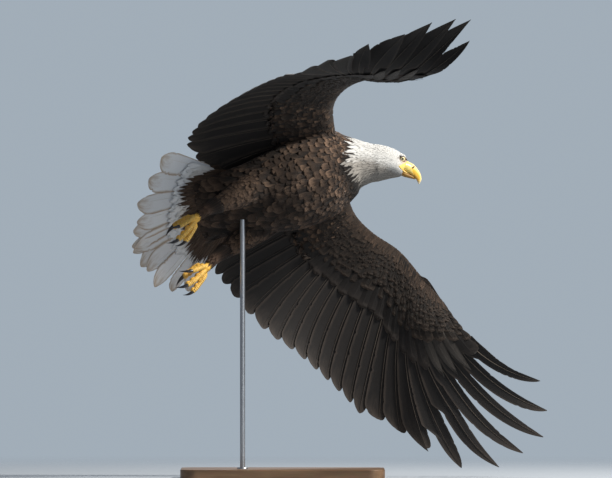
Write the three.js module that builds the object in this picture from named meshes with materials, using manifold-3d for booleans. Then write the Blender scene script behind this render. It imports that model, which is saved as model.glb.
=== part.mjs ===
// A bald eagle at life size, banking in flight, held by one rod on a flat base.
// Millimetres, +Z up, origin in the middle of the underside of the base.
// The bird faces +X. Its own frame runs forward, left and up from the middle of its breast.

import * as THREE from 'three';
import { mergeVertices } from 'three/addons/utils/BufferGeometryUtils.js';
import Module from 'manifold-3d';

const wasm = await Module();
wasm.setup();

// ---- Driving dimensions ----

// Stand: a board with rounded corners, and a steel rod sunk in it and in the belly.
const BASE = { length: 560, width: 440, thick: 28, corner: 45, bevel: 3 };
const ROD = { x: -110, y: -60, radius: 7, sunk: 16, top: 712 };

// Where the middle of the breast is, and how the bird flies: nose up, left wing down.
const BREAST = { x: 130, y: 40, z: 862 };
const NOSE_UP = 11.1;
const BANK = 48;

// Gap between pieces that meet, and the mesh detail of the round ones.
const GAP = 0.4;
const AROUND_BODY = 20;
const AROUND_ROD = 12;
const AROUND_EYE = 10;
const BODY_SQUARENESS = 2.3;

// Trunk: sections from the neck to the tail coverts. middle is the height of each section.
const TRUNK = [
  { forward: 62, middle: -18, wide: 80, rise: 80, drop: 82 },
  { forward: 40, middle: -18, wide: 97, rise: 98, drop: 96 },
  { forward: 0, middle: -25, wide: 118, rise: 119, drop: 117 },
  { forward: -45, middle: -38, wide: 124, rise: 120, drop: 121 },
  { forward: -100, middle: -52, wide: 123, rise: 112, drop: 121 },
  { forward: -165, middle: -60, wide: 113, rise: 96, drop: 111 },
  { forward: -230, middle: -66, wide: 101, rise: 84, drop: 93 },
  { forward: -290, middle: -73, wide: 98, rise: 72, drop: 68 },
  { forward: -340, middle: -82, wide: 108, rise: 50, drop: 42 },
  { forward: -390, middle: -97, wide: 120, rise: 20, drop: 16 },
  { forward: -405, middle: -101, wide: 104, rise: 9, drop: 7 },
];

// Head and neck, level in the world although the body banks: x and z from the breast.
const HEAD_SIDE = -8;
const NECK = [
  { top: [82, 71], bottom: [84, -66], wide: 64 },
  { top: [104, 65], bottom: [104, -56], wide: 57 },
  { top: [126, 59.3], bottom: [124, -49], wide: 50.5 },
];
const SKULL = [
  { top: [126, 59.3], bottom: [124, -49], wide: 50.5 },
  { top: [145, 55], bottom: [142, -44], wide: 46.5 },
  { top: [163, 50.8], bottom: [157, -40.5], wide: 43.5 },
  { top: [178, 44.5], bottom: [170, -37.5], wide: 41 },
  { top: [190, 37.5], bottom: [180, -35.8], wide: 38 },
  { top: [199, 31.2], bottom: [188, -34.5], wide: 34 },
  { top: [206, 24.2], bottom: [192, -33.5], wide: 29.5 },
  { top: [211.5, 16.8], bottom: [195, -32], wide: 25 },
  { top: [215, 10.8], bottom: [197, -30], wide: 21 },
];
const BILL_UPPER = [
  { top: [215.8, 9.2], bottom: [203.5, -17.6], wide: 19 },
  { top: [221, 6.6], bottom: [209, -20.4], wide: 18 },
  { top: [228, 2.9], bottom: [216, -24.2], wide: 16 },
  { top: [235, -3.6], bottom: [223, -28.4], wide: 13.5 },
  { top: [241.2, -11.8], bottom: [230, -33.2], wide: 11 },
  { top: [247, -21.2], bottom: [235.5, -37.6], wide: 8.6 },
  { top: [250.6, -31.2], bottom: [239, -42.8], wide: 6.4 },
  { top: [251, -42.2], bottom: [241.4, -47.8], wide: 4 },
  { top: [246.4, -51.8], bottom: [243.6, -52.8], wide: 1.2 },
];
const BILL_LOWER = [
  { top: [203.2, -18.6], bottom: [197.8, -30.6], wide: 16 },
  { top: [210, -22.6], bottom: [204, -32.8], wide: 14.5 },
  { top: [218, -27], bottom: [213, -35], wide: 12.5 },
  { top: [226, -31.6], bottom: [223, -37.4], wide: 10 },
  { top: [232.4, -36.4], bottom: [231.4, -39.2], wide: 5 },
];
const EYE = { x: 197.5, z: 17.2, out: 15.5, radius: 10.5 };

// Wing: 25 flight feathers, numbered from the outermost primary (0) to the innermost (24).
// lead is the front edge and middle a line under half way back, each at six equally spaced
// places from the outer end of the hand to the body. tail is the ends of the secondaries.
const PRIMARIES = 10;
const FEATHERS = 25;
const MIDDLE_AT = 0.45;
const WING_LEAD = [
  [236, 424, -177], [189, 376, -111], [141, 323, -44], [80, 272, -9], [40, 206, 10], [28, 66, 16],
];
const WING_MIDDLE = [
  [308, 507, -289], [139, 528, -258], [41, 462, -156], [-80, 385, -74], [-146, 268, -20],
  [-135, 60, 28],
];
const WING_TAIL = [
  [-58, 622, -300], [-121, 555, -240], [-187, 486, -190], [-266, 410, -145], [-337, 300, -79],
  [-367, 221, -52], [-300, 40, -20],
];
// Tips of the primaries, forward, out and up from the breast, outermost first.
const PRIMARY_TIPS = [
  [456, 644, -325], [459, 738, -347], [435, 794, -390], [371, 818, -412], [298, 823, -444],
  [195, 807, -435], [112, 741, -400], [49, 697, -350], [1, 663, -324], [-50, 636, -310],
];
// The same for the raised right wing, whose free primaries are flexed back.
const RIGHT_TIPS = [
  [434, 638, -329], [447, 730, -350], [406, 781, -394], [341, 807, -419], [263, 812, -450],
  [162, 796, -442], [110, 733, -407], [47, 689, -357], [-1, 655, -331], [-52, 628, -317],
];
// Twist of each free primary of the right wing about its shaft, in degrees, the shares of its
// length where the twist starts and is full, and how much broader its vanes are spread.
const TWIST = { angle: 55, from: 0.42, to: 0.78, wider: 1.4 };
// How far out the slot on the inner side of each free primary starts, and the widths of its two
// vanes past the slot.
const SLOTS = [0.5, 0.57, 0.57, 0.63, 0.71, 0.86];
const OUTER_VANES = [15, 17, 19, 20, 22, 25];
// How far each free primary of the left wing is bent back like a sabre past its slot.
const SABRE = [2, 7, 8, 10, 10];
const INNER_VANES = [19, 29, 31, 32, 33, 33];
// Where the round tips of the overlapping feathers start to part, and where they end.
const PARTING = 0.968;
const TIP_END = 1.018;
// Where the coverts end, from the hand to the body, and how thick the arm is there.
const COVERTS = [0.46, 0.46, 0.4, 0.38, 0.42, 0.46];
const ARM_THICK = [5, 17, 25, 28, 38, 56];
const BLADE_THICK = 3.2;
const EDGE_THICK = 1;
const COVERT_THICK = 6;
// Share of a feather left open between the coverts' end and the bare vane.
const COVERT_GAP = 0.006;

// Alula: the small blade on the front edge of the hand.
const ALULA = { from: 5.6, to: -0.9, half: 6.5, thick: 5, ahead: 12 };

// Tail: twelve feathers fanned from a root under the coverts to their tips, each line running
// from the middle pair to the outermost.
const TAIL_ROOT = [[-318, 0, -66], [-311, 36, -52], [-292, 66, -8]];
const TAIL_TIP = [[-579, 0, -186], [-536, 160, -178], [-438, 262, -112]];
const TAIL_FEATHERS = 12;
const TAIL_THICK = 3;
const TAIL_FREE = 0.06;

// Leg: feathered thigh, bare shank, toes and talons.
const THIGH = [
  { at: [-165, 60, -82], radius: 50 },
  { at: [-218, 69, -110], radius: 46 },
  { at: [-275, 78, -142], radius: 37 },
  { at: [-326, 85, -168], radius: 24 },
  { at: [-356, 89, -183], radius: 14 },
];
const ANKLE = [-359, 89.6, -185.4];
const FOOT = [-385, 93, -209];
const SOLE_TURN = 56;
const TOES = [
  { name: 'inner', side: -15, splay: -0.45, lift: 0, length: 55, radius: 7.2, talon: 38 },
  { name: 'middle', side: 0, splay: -0.1, lift: 0, length: 80, radius: 7.4, talon: 35 },
  { name: 'outer', side: 15, splay: 0.24, lift: 0, length: 66, radius: 6.8, talon: 30 },
];
const HIND_RISE = 0.68;
const HALLUX = { name: 'hind', side: -3, splay: 0.1, lift: 20, length: 58, radius: 8, talon: 43 };
// How far a toe and its talon each turn from end to end, in radians.
const FRONT_BEND = { toe: 0.35, talon: 1.1 };
const HIND_BEND = { toe: 0.28, talon: 0.55 };

// ---- Finishes ----

const finish = (color, roughness, metalness = 0) => ({ color, roughness, metalness });
const BOARD = finish(0x4a3a2c, 0.5);
const STEEL = finish(0x9a9da0, 0.35, 0.9);
const BROWN = finish(0x2b211b, 0.85);
const DARK_VANE = finish(0x1f1a18, 0.7);
const WHITE = finish(0xf2efe8, 0.85);
const YELLOW = finish(0xe8a81e, 0.45);
const TALON = finish(0x17161a, 0.3);
const IRIS = finish(0xe6cf6a, 0.12);

// ---- Solids from rings and grids of points ----

function vector(point, side = 1) {
  return new THREE.Vector3(point[0], point[1] * side, point[2]);
}

function closedGeometry(points, triangles) {
  const geometry = new THREE.BufferGeometry();
  geometry.setAttribute('position', new THREE.Float32BufferAttribute(points.flatMap(
    (p) => [p.x, p.y, p.z]), 3));
  let volume = 0;
  for (const [i, j, k] of triangles) {
    volume += points[i].dot(points[j].clone().cross(points[k]));
  }
  const facing = volume > 0 ? triangles : triangles.map(([i, j, k]) => [i, k, j]);
  geometry.setIndex(facing.flat());
  return geometry;
}

// A loft through closed rings of equal count, with a fan over each end.
function loft(rings) {
  const count = rings[0].length;
  const points = rings.flat();
  const triangles = [];
  for (let i = 0; i + 1 < rings.length; i += 1) {
    for (let j = 0; j < count; j += 1) {
      const a = i * count + j;
      const b = i * count + ((j + 1) % count);
      triangles.push([a, b, b + count], [a, b + count, a + count]);
    }
  }
  for (const [ring, turned] of [[0, true], [rings.length - 1, false]]) {
    const centre = new THREE.Vector3();
    rings[ring].forEach((p) => centre.addScaledVector(p, 1 / count));
    const hub = points.length;
    points.push(centre);
    for (let j = 0; j < count; j += 1) {
      const a = ring * count + j;
      const b = ring * count + ((j + 1) % count);
      triangles.push(turned ? [b, a, hub] : [a, b, hub]);
    }
  }
  return closedGeometry(points, triangles);
}

// A curved plate: grid[i][j] holds the middle point, the thickness there and, where the plate is
// one part of a larger surface, that surface's normal.
function plate(grid) {
  const rows = grid.length;
  const columns = grid[0].length;
  const at = (i, j) => grid[Math.max(0, Math.min(rows - 1, i))][
    Math.max(0, Math.min(columns - 1, j))].point;
  const points = [];
  const triangles = [];
  for (const face of [1, -1]) {
    for (let i = 0; i < rows; i += 1) {
      for (let j = 0; j < columns; j += 1) {
        const along = at(i + 1, j).clone().sub(at(i - 1, j));
        const across = at(i, j + 1).clone().sub(at(i, j - 1));
        const normal = grid[i][j].normal ?? along.cross(across).normalize();
        points.push(at(i, j).clone().addScaledVector(normal, face * grid[i][j].thick / 2));
      }
    }
  }
  const id = (face, i, j) => face * rows * columns + i * columns + j;
  const quad = (a, b, c, d) => triangles.push([a, b, c], [a, c, d]);
  for (let i = 0; i + 1 < rows; i += 1) {
    for (let j = 0; j + 1 < columns; j += 1) {
      quad(id(0, i, j), id(0, i, j + 1), id(0, i + 1, j + 1), id(0, i + 1, j));
      quad(id(1, i, j), id(1, i + 1, j), id(1, i + 1, j + 1), id(1, i, j + 1));
    }
    quad(id(0, i, 0), id(0, i + 1, 0), id(1, i + 1, 0), id(1, i, 0));
    quad(id(0, i, columns - 1), id(1, i, columns - 1), id(1, i + 1, columns - 1),
      id(0, i + 1, columns - 1));
  }
  for (let j = 0; j + 1 < columns; j += 1) {
    quad(id(0, 0, j), id(1, 0, j), id(1, 0, j + 1), id(0, 0, j + 1));
    quad(id(0, rows - 1, j), id(0, rows - 1, j + 1), id(1, rows - 1, j + 1),
      id(1, rows - 1, j));
  }
  return closedGeometry(points, triangles);
}

// Oval ring of the given half width, rise over and drop under its middle.
function oval(middle, left, up, size, count, squareness = 2) {
  return Array.from({ length: count }, (_, i) => {
    const angle = (2 * Math.PI * i) / count;
    const c = Math.cos(angle);
    const s = Math.sin(angle);
    const x = Math.sign(c) * Math.abs(c) ** (2 / squareness) * size.wide;
    const y = Math.sign(s) * Math.abs(s) ** (2 / squareness) * (s > 0 ? size.rise : size.drop);
    return middle.clone().addScaledVector(left, x).addScaledVector(up, y);
  });
}

// A round limb along a list of middles and radii.
function limb(stations, count, side) {
  const middles = stations.map((station) => vector(station.at, side));
  return loft(stations.map((station, i) => {
    const before = middles[Math.max(0, i - 1)];
    const after = middles[Math.min(middles.length - 1, i + 1)];
    const along = after.clone().sub(before).normalize();
    const left = new THREE.Vector3(0, 1, 0).addScaledVector(along, -along.y).normalize();
    const up = along.clone().cross(left);
    const size = { wide: station.radius, rise: station.radius, drop: station.radius };
    return oval(middles[i], left, up, size, count);
  }));
}

function toManifold(geometry) {
  const bare = new THREE.BufferGeometry();
  bare.setAttribute('position', geometry.getAttribute('position').clone());
  bare.setIndex(geometry.getIndex());
  const merged = mergeVertices(bare, 1e-4);
  return new wasm.Manifold(new wasm.Mesh({
    numProp: 3,
    vertProperties: new Float32Array(merged.getAttribute('position').array),
    triVerts: new Uint32Array(merged.getIndex().array),
  }));
}

function fromManifold(solid) {
  const mesh = solid.getMesh();
  const geometry = new THREE.BufferGeometry();
  geometry.setAttribute('position', new THREE.BufferAttribute(mesh.vertProperties, 3));
  geometry.setIndex(new THREE.BufferAttribute(mesh.triVerts, 1));
  return geometry;
}

function cut(geometry, ...tools) {
  return fromManifold(tools.reduce(
    (solid, tool) => solid.subtract(toManifold(tool)), toManifold(geometry)));
}

function add(group, name, geometry, look) {
  const flat = geometry.index ? geometry.toNonIndexed() : geometry;
  flat.computeVertexNormals();
  const mesh = new THREE.Mesh(flat, new THREE.MeshStandardMaterial(look));
  mesh.name = name;
  group.add(mesh);
}

// Smooth curve through a list of points, read by a share of its length of stations.
function through(points, side = 1) {
  const curve = new THREE.CatmullRomCurve3(points.map((p) => vector(p, side)), false, 'centripetal');
  return (share) => curve.getPoint(THREE.MathUtils.clamp(share, 0, 1));
}

// Straight reading between listed values by a share from the first to the last.
function between(values, share) {
  const place = THREE.MathUtils.clamp(share, 0, 1) * (values.length - 1);
  const i = Math.min(values.length - 2, Math.floor(place));
  return THREE.MathUtils.lerp(values[i], values[i + 1], place - i);
}

// ---- Stand ----

function standBase() {
  const { length, width, thick, corner, bevel } = BASE;
  const x = length / 2 - bevel;
  const y = width / 2 - bevel;
  const outline = new THREE.Shape();
  outline.moveTo(-x + corner, -y);
  outline.lineTo(x - corner, -y);
  outline.absarc(x - corner, -y + corner, corner, -Math.PI / 2, 0);
  outline.absarc(x - corner, y - corner, corner, 0, Math.PI / 2);
  outline.absarc(-x + corner, y - corner, corner, Math.PI / 2, Math.PI);
  outline.absarc(-x + corner, -y + corner, corner, Math.PI, 1.5 * Math.PI);
  const board = new THREE.ExtrudeGeometry(outline, {
    depth: thick - 2 * bevel, bevelThickness: bevel, bevelSize: bevel, bevelSegments: 1,
    curveSegments: 4,
  });
  board.translate(0, 0, bevel);
  return cut(mergeVertices(positionOnly(board)), rodShape(GAP, thick - ROD.sunk, thick + 10));
}

function positionOnly(geometry) {
  geometry.deleteAttribute('normal');
  geometry.deleteAttribute('uv');
  return geometry;
}

function rodShape(grown, bottom, top) {
  const rod = new THREE.CylinderGeometry(
    ROD.radius + grown, ROD.radius + grown, top - bottom, AROUND_ROD);
  rod.rotateX(Math.PI / 2);
  rod.translate(ROD.x, ROD.y, (bottom + top) / 2);
  return mergeVertices(positionOnly(rod), 1e-3);
}

// ---- Trunk, neck and head ----

function trunk(grown) {
  const left = new THREE.Vector3(0, 1, 0);
  const up = new THREE.Vector3(0, 0, 1);
  return loft(TRUNK.map((section) => oval(
    new THREE.Vector3(section.forward, 0, section.middle), left, up,
    { wide: section.wide + grown, rise: section.rise + grown, drop: section.drop + grown },
    AROUND_BODY, BODY_SQUARENESS)));
}

// Ring between a top and a bottom point of the upright head, seen from its left.
function uprightRing({ top, bottom, wide }, count, squareness) {
  const high = new THREE.Vector3(top[0], HEAD_SIDE, top[1]);
  const low = new THREE.Vector3(bottom[0], HEAD_SIDE, bottom[1]);
  const half = high.distanceTo(low) / 2;
  const up = high.clone().sub(low).normalize();
  const middle = high.clone().add(low).multiplyScalar(0.5);
  return oval(middle, new THREE.Vector3(0, 1, 0), up, { wide, rise: half, drop: half }, count,
    squareness);
}

// The neck starts on the last ring of the banked trunk, turned to run level round by round.
function neck(bank) {
  const first = TRUNK[0];
  const middle = new THREE.Vector3(first.forward + GAP, 0, first.middle).applyQuaternion(bank);
  const left = new THREE.Vector3(0, 1, 0).applyQuaternion(bank);
  const up = new THREE.Vector3(0, 0, 1).applyQuaternion(bank);
  const start = oval(middle, left, up, first, AROUND_BODY, BODY_SQUARENESS);
  const turn = Math.round((BANK / 360) * AROUND_BODY);
  const turned = start.map((_, i) => start[(i + turn) % AROUND_BODY]);
  return loft([turned, ...NECK.map((ring) => uprightRing(ring, AROUND_BODY, 2))]);
}

function ball(side, radius) {
  const sphere = new THREE.SphereGeometry(radius, AROUND_EYE, 7);
  sphere.rotateX(Math.PI / 2);
  sphere.translate(EYE.x, HEAD_SIDE + side * EYE.out, EYE.z);
  return mergeVertices(positionOnly(sphere), 1e-3);
}

function head() {
  const rings = SKULL.map((ring) => uprightRing(ring, AROUND_BODY, 2));
  rings[0].forEach((point) => {
    point.x += GAP;
  });
  return cut(loft(rings), ball(1, EYE.radius + GAP), ball(-1, EYE.radius + GAP));
}

// ---- Wing ----

function wing(side) {
  const lead = through(WING_LEAD, side);
  const middle = through(WING_MIDDLE, side);
  const tail = through(WING_TAIL, side);
  const tips = (side > 0 ? PRIMARY_TIPS : RIGHT_TIPS).map((tip) => vector(tip, side));
  const share = (feather) => (feather + 0.5) / FEATHERS;

  function tipOf(feather) {
    if (feather <= 0) return tips[0];
    if (feather >= PRIMARIES - 0.5) {
      return tail((feather - PRIMARIES + 0.5) / (FEATHERS - PRIMARIES));
    }
    const inner = Math.min(PRIMARIES - 1, Math.floor(feather) + 1);
    return tips[Math.floor(feather)].clone().lerp(tips[inner], feather - Math.floor(feather));
  }

  // Bow from the front edge to the tip, passing the wing's middle line.
  function bow(feather, out) {
    const start = lead(share(feather));
    const end = tipOf(feather);
    const rest = 1 - MIDDLE_AT;
    const handle = middle(share(feather)).addScaledVector(start, -rest * rest)
      .addScaledVector(end, -MIDDLE_AT * MIDDLE_AT).multiplyScalar(1 / (2 * MIDDLE_AT * rest));
    return start.clone().multiplyScalar((1 - out) ** 2)
      .addScaledVector(handle, 2 * out * (1 - out)).addScaledVector(end, out * out);
  }

  // Point on the wing. Between two shafts it is read straight across, so that vanes meet.
  function surface(feather, out) {
    if (feather <= 0 || feather >= FEATHERS - 1) return bow(feather, out);
    const inner = Math.floor(feather);
    return bow(inner, out).lerp(bow(Math.min(FEATHERS - 1, inner + 1), out), feather - inner);
  }

  function normalAt(feather, out) {
    const across = surface(feather + 0.25, out).sub(surface(feather - 0.25, out));
    const along = surface(feather, out + 0.01).sub(surface(feather, out - 0.01));
    return along.cross(across).normalize();
  }

  const coverts = (feather) => between(COVERTS, share(feather));

  // The covered, thick part of the wing between two feathers.
  function arm(first, last) {
    const trim = GAP / 22;
    const rows = [0, 0.04, 0.14, 0.36, 0.68, 1];
    const columns = Array.from({ length: last - first + 1 }, (_, i) => first + i);
    return plate(rows.map((row) => columns.map((column) => {
      const inner = column === last && last < FEATHERS - 0.5 ? -trim : 0;
      const feather = column + inner + (column === first && first > 0 ? trim : 0);
      const out = row * (coverts(column) - COVERT_GAP);
      const full = between(ARM_THICK, share(column));
      const swell = 2.6 * Math.sqrt(row + 0.003) * (1 - row);
      return { point: surface(feather, out), normal: normalAt(column, out),
        thick: COVERT_THICK * (0.4 + 0.6 * row) + Math.max(0, full - COVERT_THICK) * swell };
    })));
  }

  // Shaft line of a free primary, with its bend past the slot.
  function shaftAt(feather, out) {
    const point = bow(feather, out);
    if (side < 0 || feather < 0 || feather >= SABRE.length) return point;
    const free = THREE.MathUtils.clamp((out - SLOTS[feather]) / (1 - SLOTS[feather]), 0, 1);
    const aside = bow(feather + 1, out).sub(point).normalize();
    return point.addScaledVector(aside, SABRE[feather] * 6.75 * free * free * (1 - free));
  }

  // One free primary, from the coverts to its tip.
  function finger(feather) {
    const start = coverts(feather);
    const rows = [0, 0.12, 0.25, 0.38, 0.52, 0.66, 0.8, 0.91, 1];
    return plate(rows.map((row) => {
      const out = start + (1 - start) * row;
      const shaft = shaftAt(feather, out);
      const along = bow(feather, out + 0.01).sub(bow(feather, out - 0.01)).normalize();
      const twisted = side > 0 ? 0
        : -THREE.MathUtils.degToRad(TWIST.angle)
          * THREE.MathUtils.smoothstep(out, TWIST.from, TWIST.to);
      const broad = side > 0 ? 1 : TWIST.wider;
      const edge = (way) => {
        if (feather === 0 && way < 0) {
          const front = bow(-0.5, out).sub(shaft).multiplyScalar((1 - out ** 8) * broad);
          return front.applyAxisAngle(along, twisted).add(shaft);
        }
        const next = shaftAt(feather + way, out);
        const apart = next.distanceTo(shaft);
        const slot = SLOTS[way > 0 ? feather : feather - 1];
        const free = THREE.MathUtils.clamp((out - slot) / (1 - slot), 0, 1);
        const open = Math.min(1, free * 8);
        const wide = (way > 0 ? INNER_VANES : OUTER_VANES)[feather] * broad;
        const vane = wide * Math.max(0.04, 1 - free ** (side > 0 ? 4.5 : 2.4));
        const shut = 0.5 - GAP / 2 / apart;
        const reach = Math.min(shut, THREE.MathUtils.lerp(0.5, vane / apart, open));
        return next.sub(shaft).multiplyScalar(reach).applyAxisAngle(along, twisted).add(shaft);
      };
      const thin = THREE.MathUtils.lerp(BLADE_THICK, EDGE_THICK, row);
      return [-1, 0, 1].map((way) => ({
        point: way === 0 ? shaft : edge(way),
        normal: normalAt(feather + way / 2, out).applyAxisAngle(along, twisted),
        thick: way === 0 ? thin : EDGE_THICK,
      }));
    }));
  }

  // A run of feathers that overlap to their round tips.
  function blade(first, last, rows) {
    const columns = [];
    for (let feather = first; feather <= last; feather += 1) {
      for (const off of [-0.5, -0.25, 0, 0.25]) columns.push([feather, off]);
    }
    columns.push([last, 0.5]);
    return plate(rows.map((row) => columns.map(([feather, off], i) => {
      const nudge = (i === 0 ? 0.03 : 0) - (i === columns.length - 1 ? 0.02 : 0);
      const start = coverts(feather + off);
      const end = PARTING + (TIP_END - PARTING) * Math.sqrt(1 - (2 * off) ** 2);
      const out = start + (end - start) * row;
      return { point: surface(feather + off + nudge, out), normal: normalAt(feather + off, out),
        thick: off === 0 ? THREE.MathUtils.lerp(BLADE_THICK, 1.6, row) : EDGE_THICK };
    })));
  }

  function alula() {
    const rows = Array.from({ length: 8 }, (_, i) => i / 7);
    return plate(rows.map((row) => {
      const feather = THREE.MathUtils.lerp(ALULA.from, ALULA.to, row);
      const place = share(Math.max(-0.5, feather));
      const edge = lead(place);
      const past = Math.min(0, feather + 0.5);
      const onward = lead(0).sub(lead(0.04)).multiplyScalar(-past);
      const ahead = edge.clone().sub(middle(place)).normalize();
      const half = ALULA.half * Math.sqrt(Math.max(0.02, 1 - (2 * row - 0.9) ** 4 / 1.47));
      const spine = edge.add(onward).addScaledVector(ahead, ALULA.ahead);
      return [-1, 0, 1].map((way) => ({
        point: spine.clone().addScaledVector(ahead, -way * half),
        thick: way === 0 ? ALULA.thick * (1 - 0.6 * row) : EDGE_THICK,
      }));
    }));
  }

  return { arm, finger, blade, alula };
}

// ---- Tail ----

// Two neighbouring tail feathers, counted outward from the middle.
function tailPair(first, side) {
  const root = through(TAIL_ROOT, side);
  const tip = through(TAIL_TIP, side);
  const half = TAIL_FEATHERS / 2;
  const rows = [0.25, 0.55, 0.8, 1];
  const columns = [];
  for (const feather of [first, first + 1]) {
    for (const off of [-0.5, -0.25, 0, 0.25]) columns.push([feather, off]);
  }
  columns.push([first + 1, 0.5]);
  return plate(rows.map((row) => columns.map(([feather, off], i) => {
    const trim = (i === 0 ? 0.01 : 0) - (i === columns.length - 1 ? 0.01 : 0);
    const share = (feather + off + 0.5 + trim) / half;
    const end = 1 - TAIL_FREE * (1 - Math.sqrt(1 - (2 * off) ** 2));
    return { point: root(share).lerp(tip(share), row * end),
      thick: off === 0 ? THREE.MathUtils.lerp(TAIL_THICK, 1.4, row) : EDGE_THICK };
  })));
}

// ---- Legs ----

// Directions of a foot: along the front toes, and towards the sole.
function footAxes() {
  const turn = THREE.MathUtils.degToRad(SOLE_TURN);
  const along = new THREE.Vector3(-Math.cos(turn), 0, -Math.sin(turn));
  const sole = new THREE.Vector3(-Math.sin(turn), 0, Math.cos(turn));
  return { along, sole };
}

function bentStations(start, along, toward, length, bend, radii) {
  return radii.map((radius, i) => {
    const t = i / (radii.length - 1);
    const point = start.clone().addScaledVector(along, (Math.sin(bend * t) / bend) * length)
      .addScaledVector(toward, ((1 - Math.cos(bend * t)) / bend) * length);
    return { at: point.toArray(), radius };
  });
}

// A toe and its talon. Front toes bend to the sole, the hind toe bends back against them.
function toeAndTalon(toe, side, hind) {
  const { along, sole } = footAxes();
  const spread = new THREE.Vector3(0, side, 0);
  const heading = along.clone().addScaledVector(spread, toe.splay);
  if (hind) heading.addScaledVector(sole, HIND_RISE);
  heading.normalize();
  const toward = hind ? along.clone() : sole.clone();
  toward.addScaledVector(heading, -toward.dot(heading)).normalize();
  const start = vector(FOOT, side).addScaledVector(spread, toe.side)
    .addScaledVector(sole, toe.lift).addScaledVector(along, hind ? 2 : 12.7);
  const { toe: bend, talon: curl } = hind ? HIND_BEND : FRONT_BEND;
  const r = toe.radius;
  const toeLine = bentStations(start, heading, toward, toe.length, bend,
    [0.95 * r, r, 0.86 * r, 0.96 * r, 0.74 * r]);
  const end = new THREE.Vector3(...toeLine.at(-1).at);
  const turned = heading.clone().multiplyScalar(Math.cos(bend))
    .addScaledVector(toward, Math.sin(bend));
  const inward = toward.clone().multiplyScalar(Math.cos(bend))
    .addScaledVector(heading, -Math.sin(bend));
  end.addScaledVector(turned, 3 * GAP);
  const talonLine = bentStations(end, turned, inward, toe.talon, curl,
    [0.66, 0.62, 0.5, 0.34, 0.16, 0.05].map((share) => share * r));
  return { toe: limb(toeLine, 8, 1), talon: limb(talonLine, 6, 1) };
}

function shank() {
  const heel = vector(ANKLE);
  const foot = vector(FOOT);
  const { along } = footAxes();
  const palm = foot.clone().addScaledVector(along, 12 - GAP);
  return [
    { at: heel.toArray(), radius: 8.5 },
    { at: heel.clone().lerp(foot, 0.5).toArray(), radius: 8 },
    { at: heel.clone().lerp(foot, 0.85).toArray(), radius: 10 },
    { at: palm.clone().addScaledVector(along, -5).toArray(), radius: 12 },
    { at: palm.toArray(), radius: 8.5 },
  ];
}

// ---- The bird on its stand ----

const eagle = new THREE.Group();
const stand = new THREE.Group();
eagle.add(stand);
add(stand, 'stand_base', standBase(), BOARD);
add(stand, 'stand_rod', rodShape(0, BASE.thick - ROD.sunk + GAP, ROD.top), STEEL);

const bird = new THREE.Group();
bird.position.set(BREAST.x, BREAST.y, BREAST.z);
eagle.add(bird);
const body = new THREE.Group();
body.rotation.set(-THREE.MathUtils.degToRad(BANK), -THREE.MathUtils.degToRad(NOSE_UP), 0, 'YZX');
bird.add(body);
eagle.updateMatrixWorld(true);
const toBody = body.matrixWorld.clone().invert();

const rodHole = rodShape(GAP, BASE.thick, ROD.top + GAP);
rodHole.applyMatrix4(toBody);
const trunkCutter = trunk(GAP);
add(body, 'trunk', cut(trunk(0), rodHole), BROWN);
add(bird, 'neck', neck(body.quaternion), WHITE);
add(bird, 'head', head(), WHITE);
add(bird, 'bill_upper', loft(BILL_UPPER.map((ring) => uprightRing(ring, 14, 2))), YELLOW);
add(bird, 'bill_lower', loft(BILL_LOWER.map((ring) => uprightRing(ring, 12, 2))), YELLOW);

for (const [name, side] of [['left', 1], ['right', -1]]) {
  add(bird, `eye_${name}`, ball(side, EYE.radius), IRIS);

  const { arm, finger, blade, alula } = wing(side);
  const wrist = PRIMARIES - 0.5;
  const elbow = wrist + 8;
  add(body, `hand_${name}`, arm(-0.5, wrist), BROWN);
  add(body, `forearm_${name}`, arm(wrist, elbow), BROWN);
  add(body, `upper_arm_${name}`, cut(arm(elbow, FEATHERS - 0.5), trunkCutter), BROWN);
  add(body, `alula_${name}`, alula(), DARK_VANE);
  for (let feather = 0; feather < SLOTS.length; feather += 1) {
    add(body, `primary_${PRIMARIES - feather}_${name}`, finger(feather), DARK_VANE);
  }
  const inner = blade(SLOTS.length, PRIMARIES - 1, [0, 0.25, 0.52, 0.8, 1]);
  add(body, `primaries_inner_${name}`, inner, DARK_VANE);
  const secondaries = blade(PRIMARIES, FEATHERS - 1, [0, 0.5, 1]);
  add(body, `secondaries_${name}`, cut(secondaries, trunkCutter), DARK_VANE);

  for (let pair = 0; pair < TAIL_FEATHERS / 4; pair += 1) {
    add(body, `tail_${pair + 1}_${name}`, cut(tailPair(2 * pair, side), trunkCutter), WHITE);
  }

  add(body, `thigh_${name}`, cut(limb(THIGH, 12, side), trunkCutter), BROWN);
  add(body, `shank_${name}`, limb(shank(), 10, side), YELLOW);
  for (const toe of [...TOES, HALLUX]) {
    const { toe: digit, talon } = toeAndTalon(toe, side, toe === HALLUX);
    add(body, `toe_${toe.name}_${name}`, digit, YELLOW);
    add(body, `talon_${toe.name}_${name}`, talon, TALON);
  }
}

export default eagle;
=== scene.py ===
"""A bald eagle at life size, banking in flight, held by one rod on a flat oak base.

Metres, +Z up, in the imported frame. The bird's own frame runs forward, left and up from the
middle of its breast; head and bill are level in the world although the body banks.
"""

import math

import bmesh
import bpy
import numpy as np
from mathutils import Matrix, Vector
from mathutils.bvhtree import BVHTree
from mathutils.kdtree import KDTree


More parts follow.
